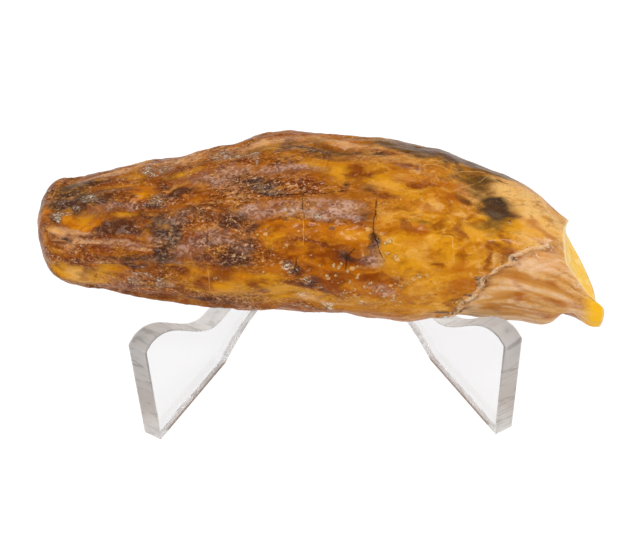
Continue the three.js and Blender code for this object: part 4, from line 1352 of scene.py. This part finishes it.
def build_stand_mesh(settings):
    """The strip's section carried along its bent path, with eased edges and closed ends.

    At each end the section shrinks by ease (1 - cos a) over ease (1 - sin a), a quarter circle.
    """
    ease = settings.edge_ease / MM
    turns = np.radians(np.linspace(0, END_TURN, ARC_STEPS + 1))
    end_lengths = ease * (1 - np.sin(turns))[::-1]
    end_insets = ease * (1 - np.cos(turns))[::-1]
    wing = np.linspace(CORNER_LENGTH, WING_LENGTH, settings.wing_steps + 1)
    bend = np.linspace(WING_LENGTH, HALF_LENGTH, settings.bend_steps + 1)[1:]
    support = [ease + EDGE_SUPPORT, CORNER_LENGTH - EDGE_SUPPORT]
    lengths = np.concatenate([end_lengths, support, wing, bend])
    insets = np.concatenate([end_insets, np.zeros(len(lengths) - len(end_insets))])
    right = strip_rings(1, lengths, insets, ease)
    left = strip_rings(-1, lengths[:-1], insets[:-1], ease)
    rings = np.array(right + left[::-1])
    mesh = skin_mesh("clear_stand", rings, rings[0].mean(axis=0), rings[-1].mean(axis=0))

    from_end = np.concatenate([lengths, lengths[:-1][::-1]])
    at_end = (from_end <= ease)[:, None]
    on_flat = strip_flats()
    rests = underside_height(from_end) == 0
    cut = np.where(at_end | ~on_flat, 1.0, 0.0)
    store(mesh, "cut", np.concatenate([cut.ravel(), [1, 1]]))
    on_foot_line = rests & (from_end > FOOT_LINE_FROM_END)
    foot = np.where(on_foot_line[:, None] & inner_side(), 1.0, 0.0)
    store(mesh, "foot_line", np.concatenate([foot.ravel(), [0, 0]]))
    return mesh


# Tints of the sheet's faces, its sawn edges, the marks across them and the thin brown line along its feet.
FACE_TINT = "#EEEDEE"
EDGE_TINT = "#F4F1EE"
MARK_TINT = "#C6C2BE"
FOOT_LINE_TINT = "#A07C60"


SMEAR_SIZE = 9
MARK_LENGTH = 5
MARK_SLANT = 38  # degrees
POLISHED = (0.01, 0.05)  # roughness of the faces, where clean and where smeared
SAWN = (0.6, 0.9)  # roughness of the edges, between the saw's marks and on them
HEATED = (12, 19)  # y over which the heated bend starts
HEAT_HAZE = 0.2  # how much rougher it is there
FOOT_LINE_TOP = (0.6, 1.0)  # height over which the brown line ends
ACRYLIC_DEPTH = "#D8DCE4"  # tint that the sheet takes with depth


def acrylic_material(settings):
    """Cast acrylic sheet: clear, polished faces, and sawn edges that were only flamed.

    The faces show what is behind them, a little greyed, and haze over near the bend, where the
    sheet was heated. The edges are frosted by the saw, so they turn light grey with slanting darker
    marks, and a thin brown line runs along the foot of each inner face.
    """
    material, tree = new_material("cast_acrylic_sheet")
    coordinates = add_node(tree, "ShaderNodeTexCoord", output="Object")
    cut = add_node(tree, "ShaderNodeAttribute", {"attribute_name": "cut"}, output="Fac")
    foot_line = add_node(tree, "ShaderNodeAttribute", {"attribute_name": "foot_line"}, output="Fac")
    smear = add_node(
        tree,
        "ShaderNodeTexNoise",
        inputs={"Vector": coordinates, "Scale": 1 / (SMEAR_SIZE * MM), "Detail": 3.0},
    )
    slanted = add_node(
        tree,
        "ShaderNodeMapping",
        inputs={
            "Vector": coordinates,
            "Rotation": (0.0, math.radians(MARK_SLANT), 0.0),
            "Scale": (1 / (MARK_LENGTH * MM), 1 / (MARK_LENGTH * MM), 1 / (SAW_MARKS * MM)),
        },
    )
    marks = add_node(
        tree,
        "ShaderNodeTexNoise",
        inputs={"Vector": slanted, "Scale": 1.0, "Detail": 2.0, "Distortion": 0.8},
    )
    polished = add_node(tree, "ShaderNodeMapRange", inputs=span(smear, 0.4, 0.7, *POLISHED))
    frosted = add_node(tree, "ShaderNodeMapRange", inputs=span(marks, 0.4, 0.6, *SAWN))
    place = add_node(tree, "ShaderNodeSeparateXYZ", inputs={"Vector": coordinates}, output="Y")
    height = add_node(tree, "ShaderNodeSeparateXYZ", inputs={"Vector": coordinates}, output="Z")
    near_bend = span(place, HEATED[0] * MM, HEATED[1] * MM, 0.0, HEAT_HAZE)
    heated = add_node(tree, "ShaderNodeMapRange", SMOOTH, near_bend)
    near_foot = span(height, FOOT_LINE_TOP[0] * MM, FOOT_LINE_TOP[1] * MM, 1.0, 0.0)
    below_line_top = add_node(tree, "ShaderNodeMapRange", SMOOTH, near_foot)
    hazed = add_node(tree, "ShaderNodeMath", ADD, {0: polished, 1: heated})
    roughness = add_node(tree, "ShaderNodeMix", {"data_type": "FLOAT"}, {0: cut, 2: hazed, 3: frosted})
    colour = linear(FACE_TINT)
    for tone, source, low, high, cover, where in (
        (EDGE_TINT, cut, 0.0, 1.0, 1.0, 1.0),
        (MARK_TINT, marks, 0.54, 0.64, 0.9, cut),
        (FOOT_LINE_TINT, foot_line, 0.3, 0.9, 1.0, below_line_top),
    ):
        colour = lay_mark(tree, colour, tone, source, low, high, cover, where)
    shader = add_node(
        tree,
        "ShaderNodeBsdfPrincipled",
        inputs={
            "Base Color": colour,
            "Roughness": roughness,
            "IOR": 1.49,
            "Transmission Weight": 1.0,
        },
    )
    absorption = add_node(
        tree,
        "ShaderNodeVolumeAbsorption",
        inputs={"Color": linear(ACRYLIC_DEPTH), "Density": settings.absorption},
    )
    add_node(tree, "ShaderNodeOutputMaterial", inputs={"Surface": shader, "Volume": absorption})
    return material


# ---- Stage --------------------------------------------------------------------------------------


# The lights, in metres and watts. The left one mirrors the right one.
KEY_PLACE = (0.0, -0.3, 0.75)
KEY_SIZE = 0.14
RIGHT_PLACE = (0.75, 0.1, 0.4)
SIDE_SIZE = 0.5
SIDE_POWER = 1.5


def build_floor(settings):
    """A plain white table that glows, so that it stays even."""
    half = settings.floor_size / 2
    mesh = bpy.data.meshes.new("floor")
    low = -FLOOR_GAP * MM
    corners = [(-half, -half, low), (half, -half, low), (half, half, low), (-half, half, low)]
    mesh.from_pydata(corners, [], [(0, 1, 2, 3)])
    material, tree = new_material("white_light_table")
    shader = add_node(
        tree,
        "ShaderNodeBsdfPrincipled",
        inputs={
            "Base Color": (0.1, 0.1, 0.1, 1),
            "Roughness": 0.9,
            "Specular IOR Level": 0.0,
            "Emission Color": (1, 1, 1, 1),
            "Emission Strength": settings.floor_glow,
        },
    )
    add_node(tree, "ShaderNodeOutputMaterial", inputs={"Surface": shader})
    floor = add_object("floor", mesh, material)


def build_light(name, place, size, power):
    """A soft square light, white, that points at the middle of the tooth."""
    light = bpy.data.lights.new(name, "AREA")
    light.shape = "SQUARE"
    light.size = size
    light.energy = power
    lamp = bpy.data.objects.new(name, light)
    aim = Vector((tooth_low + tooth_high) / 2 * MM)
    direction = aim - Vector(place)
    turn = direction.to_track_quat("-Z", "Y").to_matrix().to_4x4()
    lamp.matrix_world = Matrix.Translation(place) @ turn
    bpy.context.scene.collection.objects.link(lamp)


def build_world(strength):
    """Even white light from all round."""
    world = bpy.data.worlds.new("studio")
    bpy.context.scene.world = world
    world.use_nodes = True
    background = world.node_tree.nodes["Background"]
    background.inputs["Color"].default_value = (1, 1, 1, 1)
    background.inputs["Strength"].default_value = strength


def build_camera():
    """The camera, placed from the stand's front."""
    data = bpy.data.cameras.new("camera")
    data.sensor_width = 36
    data.lens = LENS
    camera = bpy.data.objects.new("camera", data)
    place = (np.array(CAMERA_PLACE) + SHIFT) * MM
    turn = Matrix.Rotation(math.radians(CAMERA_YAW), 4, "Z")
    turn @= Matrix.Rotation(math.radians(90 - CAMERA_DOWN), 4, "X")
    turn @= Matrix.Rotation(math.radians(CAMERA_ROLL), 4, "Z")
    camera.matrix_world = Matrix.Translation(place) @ turn
    bpy.context.scene.collection.objects.link(camera)
    bpy.context.scene.camera = camera


# ---- Settings -----------------------------------------------------------------------------------


class ToothSettings(bpy.types.PropertyGroup):
    """Fineness, relief, tones and gloss of the tooth"""

    angles_round: bpy.props.IntProperty(name="Angles round", description="Vertices round", default=288)
    root_rings: bpy.props.IntProperty(name="Root rings", description="Rings up to the ledge", default=230)
    crown_rings: bpy.props.IntProperty(name="Crown rings", description="Rings on the crown", default=60)
    break_rings: bpy.props.IntProperty(name="Break rings", description="Rings over the break", default=24)
    relief: bpy.props.FloatProperty(
        name="Relief", description="Height of the fine relief", default=1.0, subtype="FACTOR"
    )
    root_tone: bpy.props.StringProperty(
        name="Root tone", description="Colour of the root's end, as hex", default=CEMENT_TONES[0][1]
    )
    neck_tone: bpy.props.StringProperty(
        name="Neck tone", description="Colour of the neck, as hex", default=CEMENT_TONES[3][1]
    )
    gloss_roughness: bpy.props.FloatProperty(
        name="Roughness", description="Roughness under the wax", default=0.3, subtype="FACTOR"
    )
    wax: bpy.props.FloatProperty(
        name="Wax", description="How much of the surface the wax covers", default=0.1, subtype="FACTOR"
    )


class StandSettings(bpy.types.PropertyGroup):
    """Edges, fineness and tint of the stand"""

    edge_ease: bpy.props.FloatProperty(
        name="Edge ease", description="Radius of the eased edges", default=0.25 * MM, unit="LENGTH"
    )
    wing_steps: bpy.props.IntProperty(name="Wing steps", description="Steps along a wing", default=60)
    bend_steps: bpy.props.IntProperty(name="Bend steps", description="Steps round half a bend", default=12)
    absorption: bpy.props.FloatProperty(
        name="Absorption", description="How dense the acrylic's tint is", default=6.0
    )


class StageSettings(bpy.types.PropertyGroup):
    """Size of the table and strength of the lights"""

    floor_size: bpy.props.FloatProperty(
        name="Floor size", description="Width of the table", default=3.0, unit="LENGTH"
    )
    floor_glow: bpy.props.FloatProperty(
        name="Floor glow", description="Light that comes up through the table", default=1.0
    )
    world_light: bpy.props.FloatProperty(
        name="Room light", description="Strength of the light all round", default=0.4
    )
    key_power: bpy.props.FloatProperty(
        name="Key power", description="Power of the main light", default=3.2, unit="POWER"
    )


# ---- Operators ----------------------------------------------------------------------------------


class FOSSIL_OT_tooth(bpy.types.Operator):
    """Builds the tooth in place of the plain solid"""

    bl_idname = "fossil.tooth"
    bl_label = "Build tooth"

    def execute(self, context):
        settings = context.scene.fossil_tooth
        piece = add_object("fossil_tooth", build_tooth_mesh(settings), fossil_material(settings))
        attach(piece, BODY)
        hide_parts("tooth")
        return {"FINISHED"}


class FOSSIL_OT_stand(bpy.types.Operator):
    """Builds the clear stand in place of the plain solid"""

    bl_idname = "fossil.stand"
    bl_label = "Build stand"

    def execute(self, context):
        settings = context.scene.fossil_stand
        piece = add_object("clear_stand", build_stand_mesh(settings), acrylic_material(settings))
        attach(piece, BODY)
        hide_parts("stand")
        return {"FINISHED"}


class FOSSIL_OT_stage(bpy.types.Operator):
    """Builds the table, the lights and the camera"""

    bl_idname = "fossil.stage"
    bl_label = "Build stage"

    def execute(self, context):
        settings = context.scene.fossil_stage
        build_floor(settings)
        build_world(settings.world_light)
        build_light("key", KEY_PLACE, KEY_SIZE, settings.key_power)
        build_light("left", (-RIGHT_PLACE[0], *RIGHT_PLACE[1:]), SIDE_SIZE, SIDE_POWER)
        build_light("right", RIGHT_PLACE, SIDE_SIZE, SIDE_POWER)
        build_camera()
        context.scene.view_settings.view_transform = "Standard"
        return {"FINISHED"}


class FOSSIL_PT_panel(bpy.types.Panel):
    """The settings and the button of each piece, in the sidebar"""

    bl_label = "Fossil tooth"
    bl_idname = "FOSSIL_PT_panel"
    bl_space_type = "VIEW_3D"
    bl_region_type = "UI"
    bl_category = "Fossil"

    def draw(self, context):
        for name in ("tooth", "stand", "stage"):
            column = self.layout.column(align=True)
            settings = getattr(context.scene, f"fossil_{name}")
            for key in type(settings).__annotations__:
                column.prop(settings, key)
            column.operator(f"fossil.{name}")


GROUPS = {"fossil_tooth": ToothSettings, "fossil_stand": StandSettings, "fossil_stage": StageSettings}
CLASSES = (*GROUPS.values(), FOSSIL_OT_tooth, FOSSIL_OT_stand, FOSSIL_OT_stage, FOSSIL_PT_panel)


def register():
    for cls in CLASSES:
        bpy.utils.register_class(cls)
    for name, group in GROUPS.items():
        setattr(bpy.types.Scene, name, bpy.props.PointerProperty(type=group))


def unregister():
    for name in GROUPS:
        delattr(bpy.types.Scene, name)
    for cls in reversed(CLASSES):
        bpy.utils.unregister_class(cls)


def main():
    register()
    bpy.ops.fossil.tooth()
    bpy.ops.fossil.stand()
    bpy.ops.fossil.stage()


if __name__ == "__main__":
    main()
